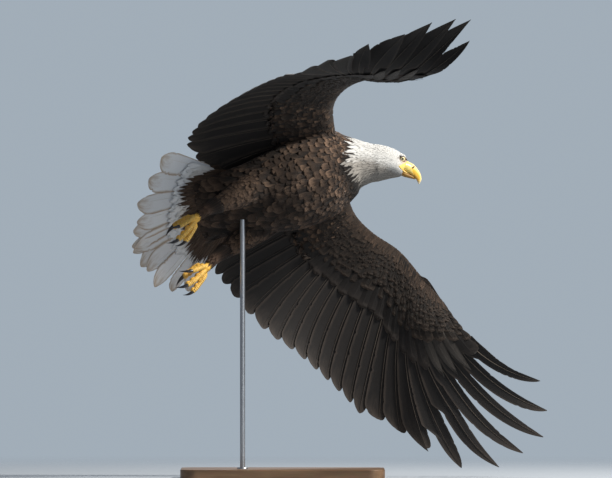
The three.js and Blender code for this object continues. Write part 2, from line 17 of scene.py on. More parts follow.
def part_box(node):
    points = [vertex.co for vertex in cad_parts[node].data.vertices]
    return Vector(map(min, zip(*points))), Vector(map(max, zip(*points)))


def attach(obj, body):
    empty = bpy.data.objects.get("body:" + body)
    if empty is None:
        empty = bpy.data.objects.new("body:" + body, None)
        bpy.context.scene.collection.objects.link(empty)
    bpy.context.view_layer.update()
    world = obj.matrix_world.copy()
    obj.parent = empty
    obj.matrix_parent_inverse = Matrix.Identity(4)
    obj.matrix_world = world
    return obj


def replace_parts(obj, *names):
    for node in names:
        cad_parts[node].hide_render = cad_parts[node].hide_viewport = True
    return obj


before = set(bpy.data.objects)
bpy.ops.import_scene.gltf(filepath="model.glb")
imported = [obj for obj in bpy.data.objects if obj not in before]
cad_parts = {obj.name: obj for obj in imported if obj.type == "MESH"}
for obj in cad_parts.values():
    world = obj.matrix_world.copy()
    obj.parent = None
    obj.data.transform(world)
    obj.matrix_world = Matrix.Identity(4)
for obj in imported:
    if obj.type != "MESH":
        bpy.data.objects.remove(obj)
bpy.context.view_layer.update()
scene = bpy.context.scene
rng = np.random.default_rng(11)


# ---------------------------------------------------------------------------------------------
# Studio: a long lens looks level at the bird from its right side, so the camera sees it as from
# far below its flight line. A pale disc of floor fades into an even pale backdrop.
CAMERA_PLACE = (0.064, -39.96, 0.6585)
VIEW_WIDE = 1.683
VIEW_FAR = 40.0
FLOOR_RADIUS = 5.0
BACKDROP = (0.36, 0.42, 0.48, 1)
ROOM_GLOW = (0.150, 0.172, 0.205, 1)
FLOOR_GREY = (0.34, 0.37, 0.40, 1)
BREAST = Vector((0.130, 0.040, 0.862))
# Each lamp: place from the middle of the breast, which it faces, width, watts and colour.
LAMPS = (("key_light", (3.40, -1.55, 2.90), 1.1, 430, (1, 0.965, 0.91)),
         ("fill_light", (2.2, -4.0, 0.6), 2.5, 22, (0.86, 0.92, 1)),
         ("rim_light", (0.4, 3.2, 2.6), 1.5, 90, (0.95, 0.97, 1)))

lens = bpy.data.cameras.new("camera")
lens.sensor_width = 36
lens.lens = lens.sensor_width * VIEW_FAR / VIEW_WIDE
lens.clip_end = 200
camera = bpy.data.objects.new("camera", lens)
camera.location = CAMERA_PLACE
camera.rotation_euler = (math.radians(90), 0, 0)
scene.collection.objects.link(camera)
scene.camera = camera
scene.view_settings.view_transform = "Standard"

for name, place, size, watts, colour in LAMPS:
    light = bpy.data.lights.new(name, "AREA")
    light.shape = "DISK"
    light.size = size
    light.energy = watts
    light.color = colour
    lamp = bpy.data.objects.new(name, light)
    lamp.location = Vector(place) + BREAST
    lamp.rotation_euler = (BREAST - lamp.location).to_track_quat("-Z", "Y").to_euler()
    scene.collection.objects.link(lamp)


def new_material(name):
    """A material and its node tree with one Principled shader, its sockets set by the caller."""
    material = bpy.data.materials.new(name)
    material.use_nodes = True
    tree = material.node_tree
    return material, tree, tree.nodes["Principled BSDF"]


def add_node(tree, kind, **settings):
    node = tree.nodes.new(kind)
    for key, value in settings.items():
        if key.startswith("in_"):
            node.inputs[int(key[3:])].default_value = value
        else:
            setattr(node, key, value)
    return node


def wire(tree, *pairs):
    for source, target in pairs:
        tree.links.new(source, target)


def new_piece(name, mesh, material):
    piece = bpy.data.objects.new(name, mesh)
    scene.collection.objects.link(piece)
    for one in material if isinstance(material, (list, tuple)) else [material]:
        mesh.materials.append(one)
    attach(piece, "root")
    return piece


world = bpy.data.worlds.new("studio")
world.use_nodes = True
room = world.node_tree
cast = room.nodes["Background"]
cast.inputs["Color"].default_value = ROOM_GLOW
seen = add_node(room, "ShaderNodeBackground", in_0=BACKDROP)
path = add_node(room, "ShaderNodeLightPath")
choose = add_node(room, "ShaderNodeMixShader")
wire(room,
     (path.outputs["Is Camera Ray"], choose.inputs[0]),
     (cast.outputs[0], choose.inputs[1]),
     (seen.outputs[0], choose.inputs[2]),
     (choose.outputs[0], room.nodes["World Output"].inputs["Surface"]))
scene.world = world

disc = bmesh.new()
bmesh.ops.create_circle(disc, cap_ends=True, radius=FLOOR_RADIUS, segments=96)
floor_mesh = bpy.data.meshes.new("floor")
disc.to_mesh(floor_mesh)
disc.free()
floor = bpy.data.objects.new("floor", floor_mesh)
scene.collection.objects.link(floor)
floor_finish, tree, shader = new_material("studio_floor")
shader.inputs["Base Color"].default_value = FLOOR_GREY
shader.inputs["Roughness"].default_value = 0.9
place = add_node(tree, "ShaderNodeTexCoord")
reach = add_node(tree, "ShaderNodeVectorMath", operation="LENGTH")
fade = add_node(tree, "ShaderNodeMapRange", interpolation_type="SMOOTHSTEP", in_1=0.9, in_2=4.4,
                in_3=1.0, in_4=0.0)
wire(tree,
     (place.outputs["Object"], reach.inputs[0]),
     (reach.outputs["Value"], fade.inputs[0]),
     (fade.outputs[0], shader.inputs["Alpha"]))
floor_mesh.materials.append(floor_finish)


# ---------------------------------------------------------------------------------------------
# Stand: an oiled oak board with eased edges, cut from one plank, and a brushed steel rod that
# is sunk in it and runs up into the belly. A thin steel collar hides the hole in the board.
BOARD_LOW, BOARD_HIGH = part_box("stand_base")
ROD_LOW, ROD_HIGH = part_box("stand_rod")
BOARD_CORNER = 0.045
BOARD_EASE = 0.003
ROD_SIDES = 40
COLLAR_RADIUS = 0.015
COLLAR_THICK = 0.004
OAK_DARK = (0.135, 0.071, 0.033, 1)
OAK_LIGHT = (0.285, 0.165, 0.085, 1)
STEEL_DARK = (0.42, 0.43, 0.44, 1)
STEEL_LIGHT = (0.66, 0.67, 0.68, 1)
EDGE_ANGLE = math.radians(40)


def ring_bridge(rings):
    """Vertices and faces of a closed loft through rings of equal count, ends filled."""
    count = len(rings[0])
    points = np.concatenate([np.asarray(ring, float) for ring in rings])
    faces = []
    for i in range(len(rings) - 1):
        for j in range(count):
            a, b = i * count + j, i * count + (j + 1) % count
            faces.append((a, b, b + count, a + count))
    faces.append(tuple(reversed(range(count))))
    faces.append(tuple(range(len(points) - count, len(points))))
    return points, faces


def mesh_from(name, points, faces, smooth=True):
    mesh = bpy.data.meshes.new(name)
    mesh.from_pydata([tuple(point) for point in points], [], faces)
    body = bmesh.new()
    body.from_mesh(mesh)
    bmesh.ops.recalc_face_normals(body, faces=body.faces)
    body.to_mesh(mesh)
    body.free()
    mesh.shade_smooth() if smooth else mesh.shade_flat()
    return mesh


def board_ring(inset, height):
    middle = (BOARD_LOW + BOARD_HIGH) / 2
    half_x = (BOARD_HIGH.x - BOARD_LOW.x) / 2 - inset
    half_y = (BOARD_HIGH.y - BOARD_LOW.y) / 2 - inset
    radius = BOARD_CORNER - inset
    ring = []
    for quarter in range(4):
        across = half_x - radius if quarter in (0, 3) else radius - half_x
        ahead = half_y - radius if quarter in (0, 1) else radius - half_y
        for step in range(13):
            angle = math.radians(90 * quarter + 7.5 * step)
            ring.append((middle.x + across + radius * math.cos(angle),
                         middle.y + ahead + radius * math.sin(angle), height))
    return ring


levels = [(BOARD_EASE * (1 - math.sin(a)), BOARD_LOW.z + BOARD_EASE * (1 - math.cos(a)))
          for a in np.radians((0, 30, 60, 90))]
board_rings = [board_ring(inset, height) for inset, height in levels]
board_rings += [board_ring(inset, BOARD_LOW.z + BOARD_HIGH.z - height)
                for inset, height in reversed(levels)]
board_mesh = mesh_from("stand_board", *ring_bridge(board_rings), smooth=False)

oak, tree, shader = new_material("oiled_oak")
place = add_node(tree, "ShaderNodeTexCoord")
along = add_node(tree, "ShaderNodeMapping")
along.inputs["Scale"].default_value = (1.6, 22, 22)
rings_of_growth = add_node(tree, "ShaderNodeTexNoise", in_2=3.0, in_3=6.0, in_4=0.6)
pores = add_node(tree, "ShaderNodeMapping")
pores.inputs["Scale"].default_value = (30, 900, 900)
pore_noise = add_node(tree, "ShaderNodeTexNoise", in_2=1.0, in_3=2.0)
ramp = add_node(tree, "ShaderNodeValToRGB")
ramp.color_ramp.elements[0].position = 0.32
ramp.color_ramp.elements[0].color = OAK_DARK
ramp.color_ramp.elements[1].position = 0.7
ramp.color_ramp.elements[1].color = OAK_LIGHT
darken = add_node(tree, "ShaderNodeMix", data_type="RGBA", blend_type="MULTIPLY")
darken.inputs["Factor"].default_value = 0.5
rough = add_node(tree, "ShaderNodeMapRange", in_3=0.34, in_4=0.55)
bump = add_node(tree, "ShaderNodeBump")
bump.inputs["Distance"].default_value = 0.0004
bump.inputs["Strength"].default_value = 0.5
wire(tree,
     (place.outputs["Object"], along.inputs[0]),
     (along.outputs[0], rings_of_growth.inputs[0]),
     (place.outputs["Object"], pores.inputs[0]),
     (pores.outputs[0], pore_noise.inputs[0]),
     (rings_of_growth.outputs["Fac"], ramp.inputs[0]),
     (ramp.outputs[0], darken.inputs["A"]),
     (pore_noise.outputs["Color"], darken.inputs["B"]),
     (darken.outputs["Result"], shader.inputs["Base Color"]),
     (rings_of_growth.outputs["Fac"], rough.inputs[0]),
     (rough.outputs[0], shader.inputs["Roughness"]),
     (pore_noise.outputs["Fac"], bump.inputs["Height"]),
     (bump.outputs[0], shader.inputs["Normal"]))
board = new_piece("stand_board", board_mesh, oak)
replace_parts(board, "stand_base")

rod_middle = (ROD_LOW + ROD_HIGH) / 2
rod_radius = (ROD_HIGH.x - ROD_LOW.x) / 2


def round_section(radius, height):
    return [(rod_middle.x + radius * math.cos(2 * math.pi * i / ROD_SIDES),
             rod_middle.y + radius * math.sin(2 * math.pi * i / ROD_SIDES), height)
            for i in range(ROD_SIDES)]


steel, tree, shader = new_material("brushed_steel")
shader.inputs["Metallic"].default_value = 1.0
place = add_node(tree, "ShaderNodeTexCoord")
around = add_node(tree, "ShaderNodeMapping")
around.inputs["Scale"].default_value = (60, 60, 2400)
scratch = add_node(tree, "ShaderNodeTexNoise", in_2=1.0, in_3=3.0)
tone = add_node(tree, "ShaderNodeValToRGB")
tone.color_ramp.elements[0].color = STEEL_DARK
tone.color_ramp.elements[1].color = STEEL_LIGHT
rough = add_node(tree, "ShaderNodeMapRange", in_3=0.24, in_4=0.42)
bump = add_node(tree, "ShaderNodeBump")
bump.inputs["Distance"].default_value = 0.00008
wire(tree,
     (place.outputs["Object"], around.inputs[0]),
     (around.outputs[0], scratch.inputs[0]),
     (scratch.outputs["Fac"], tone.inputs[0]),
     (scratch.outputs["Fac"], rough.inputs[0]),
     (scratch.outputs["Fac"], bump.inputs["Height"]),
     (tone.outputs[0], shader.inputs["Base Color"]),
     (rough.outputs[0], shader.inputs["Roughness"]),
     (bump.outputs[0], shader.inputs["Normal"]))


def turned(name, profile):
    """A steel piece of round sections about the rod's axis: radius and height of each."""
    rings = [round_section(radius, height) for radius, height in profile]
    mesh = mesh_from(name, *ring_bridge(rings))
    mesh.set_sharp_from_angle(angle=EDGE_ANGLE)
    return new_piece(name, mesh, steel)


rod = turned("stand_rod_steel", ((rod_radius, ROD_LOW.z), (rod_radius, ROD_HIGH.z)))
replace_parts(rod, "stand_rod")
turned("stand_collar", ((COLLAR_RADIUS, BOARD_HIGH.z + 0.0002),
                        (COLLAR_RADIUS, BOARD_HIGH.z + 0.7 * COLLAR_THICK),
                        (0.94 * COLLAR_RADIUS, BOARD_HIGH.z + COLLAR_THICK),
                        (rod_radius + 0.0006, BOARD_HIGH.z + COLLAR_THICK)))


# ---------------------------------------------------------------------------------------------
# Skin: one hide over trunk, neck, head, arms, thighs and bare feet, fused from the solids of the
# flesh, smoothed, and sunk by the depth of the coat that lies on it. It carries the markings.
BANK = math.radians(48)
NOSE_UP = math.radians(11.1)
HEAD_SIDE = -0.008
EYE = Vector((0.1975, 0.0155, 0.0172))
EYE_RADIUS = 0.0088
FLESH = ("trunk", "neck", "head", "upper_arm", "forearm", "hand", "thigh", "shank", "toe")
COAT_DEPTH = (0.006, 0.0045, 0.0016, 0.0035, 0.0028, 0.0012, 0.005, 0.0, 0.0)
SOFTEN = (0.5, 0.5, 0.42, 0.4, 0.3, 0.16, 0.45, 0.16, 0.1)
SWELL = 0.0009
VOXEL = 0.003
SKIN_PASSES = 26
DEPTH_PASSES = 12
HEAD_PASSES = 5
WHITE = np.array((0.68, 0.67, 0.64))
# Painted shade: the grey that darkens the white under the head and on the throat.
THROAT_SHADE_GREY = np.array((0.31, 0.286, 0.255))
LORE_PEACH = np.array((0.60, 0.43, 0.31))
BROW_SHADE = np.array((0.085, 0.050, 0.028))
CERE_YELLOW = np.array((0.83, 0.64, 0.17))
BROWN = np.array((0.029, 0.0168, 0.0106))
BROWN_EDGE = np.array((0.190, 0.120, 0.078))
FOOT_YELLOW = np.array((0.96, 0.54, 0.085))
# Bare yellow skin behind the bill: its upper border, and where its lower border starts and falls.
CERE_TOP = ((0.1925, 0.201, 0.217), (0.0, 0.004, 0.0085))
CERE_LOW = (0.1915, -0.0055, 1.136)
# Brow ridge over the eye, from behind it to the cere: forward and up from the eye's middle.
BROW = ((-0.012, 0.0095), (0.006, 0.0115), (0.018, -0.0045))
# Where the white ends at the back, by height over the breast, at the side of the neck.
WHITE_ENDS = ((-0.08, -0.06, -0.033, -0.018, 0.0, 0.02, 0.05, 0.08, 0.11),
              (0.070, 0.070, 0.064, 0.044, 0.030, 0.034, 0.046, 0.060, 0.074))

# Height over the breast below which the white is painted grey as shade under the head, from the
# throat forward to the chin.
THROAT_SHADE_LINE = ((0.060, 0.088, 0.124, 0.151, 0.192), (0.029, 0.030, 0.031, 0.015, -0.009))
# How far back from the white a painted shadow below the white hackles darkens the brown feathers, by
# height over the breast.
RUFF_SHADOW_REACH = ((0.0, 0.012, 0.03), (0.048, 0.026, 0.012))

turn = np.array(Matrix.Rotation(-NOSE_UP, 3, "Y") @ Matrix.Rotation(-BANK, 3, "X"))
breast = np.array(BREAST)


def from_bird(points):
    return breast + np.asarray(points) @ turn.T


def to_bird(points):
    return (np.asarray(points) - breast) @ turn


def unit(vectors):
    return vectors / np.maximum(np.linalg.norm(vectors, axis=-1, keepdims=True), 1e-9)


def blend(under, over, share):
    return under * (1 - share) + over * share


def fused_flesh():
    """The flesh as one voxel shell, and a tree that tells which solid a place belongs to."""
    fused = bmesh.new()
    corners, polygons, owners = [], [], []
    for node in sorted(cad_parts):
        kind = next((i for i, name in enumerate(FLESH) if node.startswith(name)), None)
        if kind is None:
            continue
        solid = bmesh.new()
        solid.from_mesh(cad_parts[node].data)
        bmesh.ops.remove_doubles(solid, verts=solid.verts, dist=2e-5)
        bmesh.ops.recalc_face_normals(solid, faces=solid.faces)
        solid.normal_update()
        first = len(corners)
        corners += [vertex.co.copy() for vertex in solid.verts]
        for face in solid.faces:
            polygons.append([first + vertex.index for vertex in face.verts])
            owners.append(kind)
        for vertex in solid.verts:
            vertex.co += vertex.normal * SWELL
        swollen = bpy.data.meshes.new("swollen")
        solid.to_mesh(swollen)
        solid.free()
        fused.from_mesh(swollen)
        bpy.data.meshes.remove(swollen)
    raw = bpy.data.meshes.new("raw_skin")
    fused.to_mesh(raw)
    fused.free()
    holder = bpy.data.objects.new("raw_skin", raw)
    scene.collection.objects.link(holder)
    remesh = holder.modifiers.new("shell", "REMESH")
    remesh.mode = "VOXEL"
    remesh.voxel_size = VOXEL
    shell = bpy.data.meshes.new_from_object(
        holder.evaluated_get(bpy.context.evaluated_depsgraph_get()))
    bpy.data.objects.remove(holder)
    return shell, BVHTree.FromPolygons(corners, polygons), owners


def read_points(mesh):
    points = np.empty(len(mesh.vertices) * 3)
    mesh.vertices.foreach_get("co", points)
    return points.reshape(-1, 3)


def write_points(mesh, points):
    mesh.vertices.foreach_set("co", np.asarray(points, float).ravel())
    mesh.update()


def read_normals(mesh):
    normals = np.empty(len(mesh.vertices) * 3, np.float32)
    mesh.vertex_normals.foreach_get("vector", normals)
    return normals.reshape(-1, 3).astype(float)


def neighbour_mean(mesh):
    """A function that gives the mean over each vertex's neighbours of values held by vertex."""
    ends = np.empty(len(mesh.edges) * 2, np.int64)
    mesh.edges.foreach_get("vertices", ends)
    a, b = ends.reshape(-1, 2).T
    size = len(mesh.vertices)
    near = np.maximum(np.bincount(a, minlength=size) + np.bincount(b, minlength=size), 1)

    def mean(values):
        columns = [np.bincount(a, column[b], size) + np.bincount(b, column[a], size)
                   for column in np.reshape(values, (size, -1)).T]
        return (np.stack(columns, 1) / near[:, None]).reshape(values.shape)

    return mean


def bump_at(points, centre, reach):
    return np.exp(-(((points - centre) / reach) ** 2).sum(-1))


skin_mesh, flesh_tree, flesh_owner = fused_flesh()
skin_mesh.name = "skin"


def kinds_at(points):
    return np.array([flesh_owner[flesh_tree.find_nearest(Vector(point))[2]] for point in points])


points = read_points(skin_mesh)
kinds = kinds_at(points)
mean = neighbour_mean(skin_mesh)
soften = np.take(SOFTEN, kinds)[:, None]
for _ in range(SKIN_PASSES):
    points = points + (mean(points) - points) * soften
    points = points - (mean(points) - points) * soften * 0.5
depth = np.take(COAT_DEPTH, kinds) + np.where(kinds >= FLESH.index("shank"), 0, SWELL)
for _ in range(DEPTH_PASSES):
    depth = 0.5 * depth + 0.5 * mean(depth)
write_points(skin_mesh, points)
points = points - read_normals(skin_mesh) * depth[:, None]
write_points(skin_mesh, points)

# The head is cut finer, then gets its brow, the hollow of the eye and the flat of the lores.
finer = bmesh.new()
finer.from_mesh(skin_mesh)
face_end = BREAST.x + 0.150
fine_edges = [edge for edge in finer.edges if min(v.co.x for v in edge.verts) > face_end
              and abs(edge.verts[0].co.y - BREAST.y - HEAD_SIDE) < 0.06
              and abs(edge.verts[0].co.z - BREAST.z) < 0.08]
bmesh.ops.subdivide_edges(finer, edges=fine_edges, cuts=1, use_grid_fill=True)
bmesh.ops.triangulate(finer, faces=[face for face in finer.faces if len(face.verts) > 4])
finer.to_mesh(skin_mesh)
finer.free()

points = read_points(skin_mesh)
kinds = kinds_at(points)
mean = neighbour_mean(skin_mesh)
is_head = (kinds == FLESH.index("head"))[:, None]
on_solid = np.array([flesh_tree.find_nearest(Vector(point))[0] if head else point
                     for point, head in zip(points, is_head[:, 0])])
sunk = on_solid - read_normals(skin_mesh) * COAT_DEPTH[FLESH.index("head")] * is_head
points = points * 0.25 + sunk * 0.75
for _ in range(HEAD_PASSES):
    points = points + (mean(points) - points) * 0.5 * is_head


def brow_point(t):
    (x0, z0), (x1, z1), (x2, z2) = BROW
    return np.array(EYE) + ((1 - t) ** 2 * x0 + 2 * t * (1 - t) * x1 + t * t * x2, 0,
                            (1 - t) ** 2 * z0 + 2 * t * (1 - t) * z1 + t * t * z2)


local = points - breast - np.array((0, HEAD_SIDE, 0))
forehead = bump_at(local, np.array((0.2050, 0.0, 0.0250)), (0.0095, 0.016, 0.0095))
points = points + forehead[:, None] * is_head * np.array((0.0022, 0, 0.0024))
for side in (1, -1):
    local = points - breast - np.array((0, HEAD_SIDE, 0))
    local[:, 1] *= side
    outward = np.zeros_like(points)
    eye = np.array(EYE)
    on_side = (local[:, 1] > 0.002) & is_head[:, 0]
    socket = bump_at(local, eye + (0.0020, 0.010, -0.0010), (0.0100, 0.02, 0.0080))
    outward[:, 1] -= 0.0052 * socket
    for t in np.linspace(0.1, 1, 9):
        swell = bump_at(local, brow_point(t) + (0, 0.008, 0), (0.0040, 0.014, 0.0028))
        outward[:, 1] += 0.0027 * swell * math.sin(math.pi * (0.15 + 0.72 * t))
    lores = bump_at(local, eye + (0.0130, 0.0, -0.0075), (0.007, 0.02, 0.005))
    outward[:, 1] -= 0.0020 * lores
    cheek = bump_at(local, eye + (-0.018, 0.012, -0.020), (0.022, 0.03, 0.014))
    outward[:, 1] += 0.0022 * cheek
    outward[:, 1] *= side
    points = points + outward * on_side[:, None]
write_points(skin_mesh, points)


def bare_face(points):
    """Share of bare yellow skin, from the cere back to the corner of the mouth."""
    x, z = (points - breast)[:, (0, 2)].T
    start, height, fall = CERE_LOW
    inside = np.minimum(np.interp(x, *CERE_TOP) - z, z - height + (x - start) * fall)
    return np.clip(np.minimum(inside, x - start) / 0.0014 + 0.5, 0, 1)


def markings(points, kinds):
    """Base colour and fringe colour of hide and feathers at places on the body, with painted shade
    under the head, under the brow and round the eye, behind the white and between white feathers, and
    painted light on the front of the breast.
    """
    local = points - breast
    bird = to_bird(points)
    patches = 0.5 + 0.5 * np.sin(61 * bird[:, 0] + 2.1 * np.sin(83 * bird[:, 1]) + 47 * bird[:, 2])
    clumps = 0.5 + 0.5 * np.sin(170 * bird[:, 0] + 2.6 * np.sin(140 * bird[:, 1])
                                + 2.2 * np.sin(150 * bird[:, 2] + 90 * bird[:, 0]))
    # Brown feathers grow lighter towards the front of the breast: painted light on the breast.
    front = np.clip((bird[:, 0] + 0.10) / 0.12, 0, 1)
    mottle = (0.35 + 0.65 * clumps)[:, None]
    base = BROWN * (0.75 + 0.30 * patches[:, None] + 0.40 * front[:, None]) * mottle ** 0.6
    fringe = BROWN_EDGE * (0.30 + 0.25 * patches[:, None] + 0.62 * front[:, None]) * mottle
    thigh = (kinds == FLESH.index("thigh"))[:, None]
    base = np.where(thigh, BROWN * 1.25, base)
    fringe = np.where(thigh, BROWN_EDGE * 0.8, fringe)

    border = np.interp(local[:, 2], *WHITE_ENDS) + 0.030
    ragged = 0.006 * np.sin(260 * local[:, 2] + 190 * local[:, 1])
    whiten = np.clip((local[:, 0] - border - ragged) / 0.004, 0, 1)[:, None]
    whiten = whiten * (np.abs(local[:, 2:3]) < 0.12) * (np.abs(local[:, 1:2] - HEAD_SIDE) < 0.14)
    # Painted shadow: brown feathers just behind the white are darkened where the white hackles lie
    # over them.
    reach = np.interp(local[:, 2], *RUFF_SHADOW_REACH)
    ruff_shadow = np.clip(1.7 - 1.7 * (border + ragged - local[:, 0]) / reach, 0, 1)[:, None]
    ruff_shadow = ruff_shadow * (local[:, 2:3] < RUFF_SHADOW_REACH[0][-1])
    base, fringe = base * (1 - 0.80 * ruff_shadow), fringe * (1 - 0.90 * ruff_shadow)
    # Painted shade: the white under the head and on the throat turns grey below a line.
    low = np.clip((np.interp(local[:, 0], *THROAT_SHADE_LINE) - local[:, 2]) / 0.020, 0, 1)[:, None]
    white = blend(WHITE, THROAT_SHADE_GREY, low)
    face = np.stack((local[:, 0], np.abs(local[:, 1] - HEAD_SIDE), local[:, 2]), 1)
    lore = bump_at(face, np.array(EYE) + (0.010, 0, -0.0095), (0.0085, 0.03, 0.0050))
    bare = np.clip(1.5 * lore, 0, 0.9)[:, None]
    white = blend(white, LORE_PEACH, bare)
    shade = sum(bump_at(face, brow_point(t) - (0.0005, 0, 0.0026), (0.0028, 0.03, 0.0019))
                for t in np.linspace(0.36, 1, 9))
    shade = shade + 1.8 * bump_at(face, np.array(EYE) - (0.0005, 0, 0), (0.0068, 0.03, 0.0062))
    shade = np.clip(shade, 0, 0.95)[:, None]
    white = blend(white, BROW_SHADE, shade)
    white = blend(white, CERE_YELLOW, bare_face(points)[:, None])
    base = blend(base, white, whiten)
    # White feathers get darker edges: painted shade between the white feathers.
    fringe = blend(fringe, white * 0.62, whiten)
    foot = (kinds >= FLESH.index("shank"))[:, None]
    base = np.where(foot, FOOT_YELLOW, base)
    return base, np.where(foot, FOOT_YELLOW, fringe)


def paint(mesh, name, colours):
    layer = mesh.color_attributes.new(name, "FLOAT_COLOR", "POINT")
    layer.data.foreach_set("color", np.concatenate(
        [colours, np.ones((len(colours), 1))], 1).astype(np.float32).ravel())


points = read_points(skin_mesh)
base, fringe = markings(points, kinds)
paint(skin_mesh, "marking", base)
foot_share = np.maximum(kinds >= FLESH.index("shank"),
                        0.3 * bare_face(points) * (points[:, 0] > face_end))
paint(skin_mesh, "foot", np.repeat(foot_share[:, None], 3, 1))
skin_mesh.shade_smooth()

hide, tree, shader = new_material("hide")
marking = add_node(tree, "ShaderNodeAttribute", attribute_name="marking")
foot = add_node(tree, "ShaderNodeAttribute", attribute_name="foot")
place = add_node(tree, "ShaderNodeTexCoord")
scales = add_node(tree, "ShaderNodeTexVoronoi", feature="DISTANCE_TO_EDGE", in_2=420)
edge_dark = add_node(tree, "ShaderNodeMapRange", in_1=0.0, in_2=0.16, in_3=0.5, in_4=1.0)
down = add_node(tree, "ShaderNodeTexNoise", in_2=260, in_3=4)
down_tone = add_node(tree, "ShaderNodeMapRange", in_1=0.3, in_2=0.7, in_3=0.72, in_4=1.12)
surface_tone = add_node(tree, "ShaderNodeMix", data_type="FLOAT")
colour = add_node(tree, "ShaderNodeVectorMath", operation="SCALE")
rough = add_node(tree, "ShaderNodeMapRange", in_3=0.9, in_4=0.42)
relief = add_node(tree, "ShaderNodeMix", data_type="FLOAT")
bump = add_node(tree, "ShaderNodeBump")
bump.inputs["Distance"].default_value = 0.0006
wire(tree,
     (place.outputs["Object"], scales.inputs["Vector"]),
     (place.outputs["Object"], down.inputs["Vector"]),
     (scales.outputs["Distance"], edge_dark.inputs[0]),
     (down.outputs["Fac"], down_tone.inputs[0]),
     (foot.outputs["Fac"], surface_tone.inputs["Factor"]),
     (down_tone.outputs[0], surface_tone.inputs["A"]),
     (edge_dark.outputs[0], surface_tone.inputs["B"]),
     (marking.outputs["Color"], colour.inputs[0]),
     (surface_tone.outputs["Result"], colour.inputs["Scale"]),
     (colour.outputs[0], shader.inputs["Base Color"]),
     (foot.outputs["Fac"], rough.inputs[0]),
     (rough.outputs[0], shader.inputs["Roughness"]),
     (foot.outputs["Fac"], relief.inputs["Factor"]),
     (down.outputs["Fac"], relief.inputs["A"]),
     (edge_dark.outputs[0], relief.inputs["B"]),
     (relief.outputs["Result"], bump.inputs["Height"]),
     (bump.outputs[0], shader.inputs["Normal"]))

skin = new_piece("skin", skin_mesh, hide)
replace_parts(skin, *[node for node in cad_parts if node.startswith(FLESH)])
bpy.context.view_layer.objects.active = skin
skin.select_set(True)
bpy.ops.object.mode_set(mode="EDIT")
bpy.ops.mesh.select_all(action="SELECT")
bpy.ops.uv.smart_project(angle_limit=math.radians(66), island_margin=0.002)
bpy.ops.object.mode_set(mode="OBJECT")
skin_mesh.uv_layers.active.name = "OFBake"
skin_tree = BVHTree.FromObject(skin, bpy.context.evaluated_depsgraph_get())

# Where each face of the skin lies on its unwrap, so that a feather can be baked at its root's place.
corner_uv = np.empty(len(skin_mesh.loops) * 2)
skin_mesh.uv_layers["OFBake"].data.foreach_get("uv", corner_uv)
corner_uv = corner_uv.reshape(-1, 2)
starts = np.empty(len(skin_mesh.polygons), np.int64)
skin_mesh.polygons.foreach_get("loop_start", starts)
face_uv = (corner_uv[starts] + corner_uv[starts + 2]) / 2


# ---------------------------------------------------------------------------------------------
# Coat of the body: contour feathers of one soft vane each, rooted in the hide and lying back
# along the body like tiles. White ones are smallest on the face and lengthen to pointed hackles.
VANE_THICK = 0.00028
PATCH = 0.003
# Outlines of a vane: shares of its length, and of its full half width there.
ROUND = ((0, 0.2, 0.4, 0.56, 0.74, 0.90, 1.0), (0.30, 0.66, 0.90, 1.0, 0.97, 0.70, 0.12))
LANCE = ((0, 0.16, 0.34, 0.52, 0.72, 0.88, 1.0), (0.45, 0.86, 1.0, 0.92, 0.68, 0.36, 0.05))
# Spacing of the roots, length, half width and lift of the tips as a share of the length.
TRUNK_SPACING, TRUNK_LONG, TRUNK_HALF, TRUNK_LIFT = 0.0132, 0.043, 0.0132, 0.085
THIGH_SPACING, THIGH_LONG, THIGH_HALF, THIGH_LIFT = 0.0078, 0.034, 0.0066, 0.10
RUMP_LONGER = 0.012
HACKLES_BACK = np.array((-1, 0, -0.30))
THIGH_AXIS = np.array((-0.191, 0.029, -0.101))


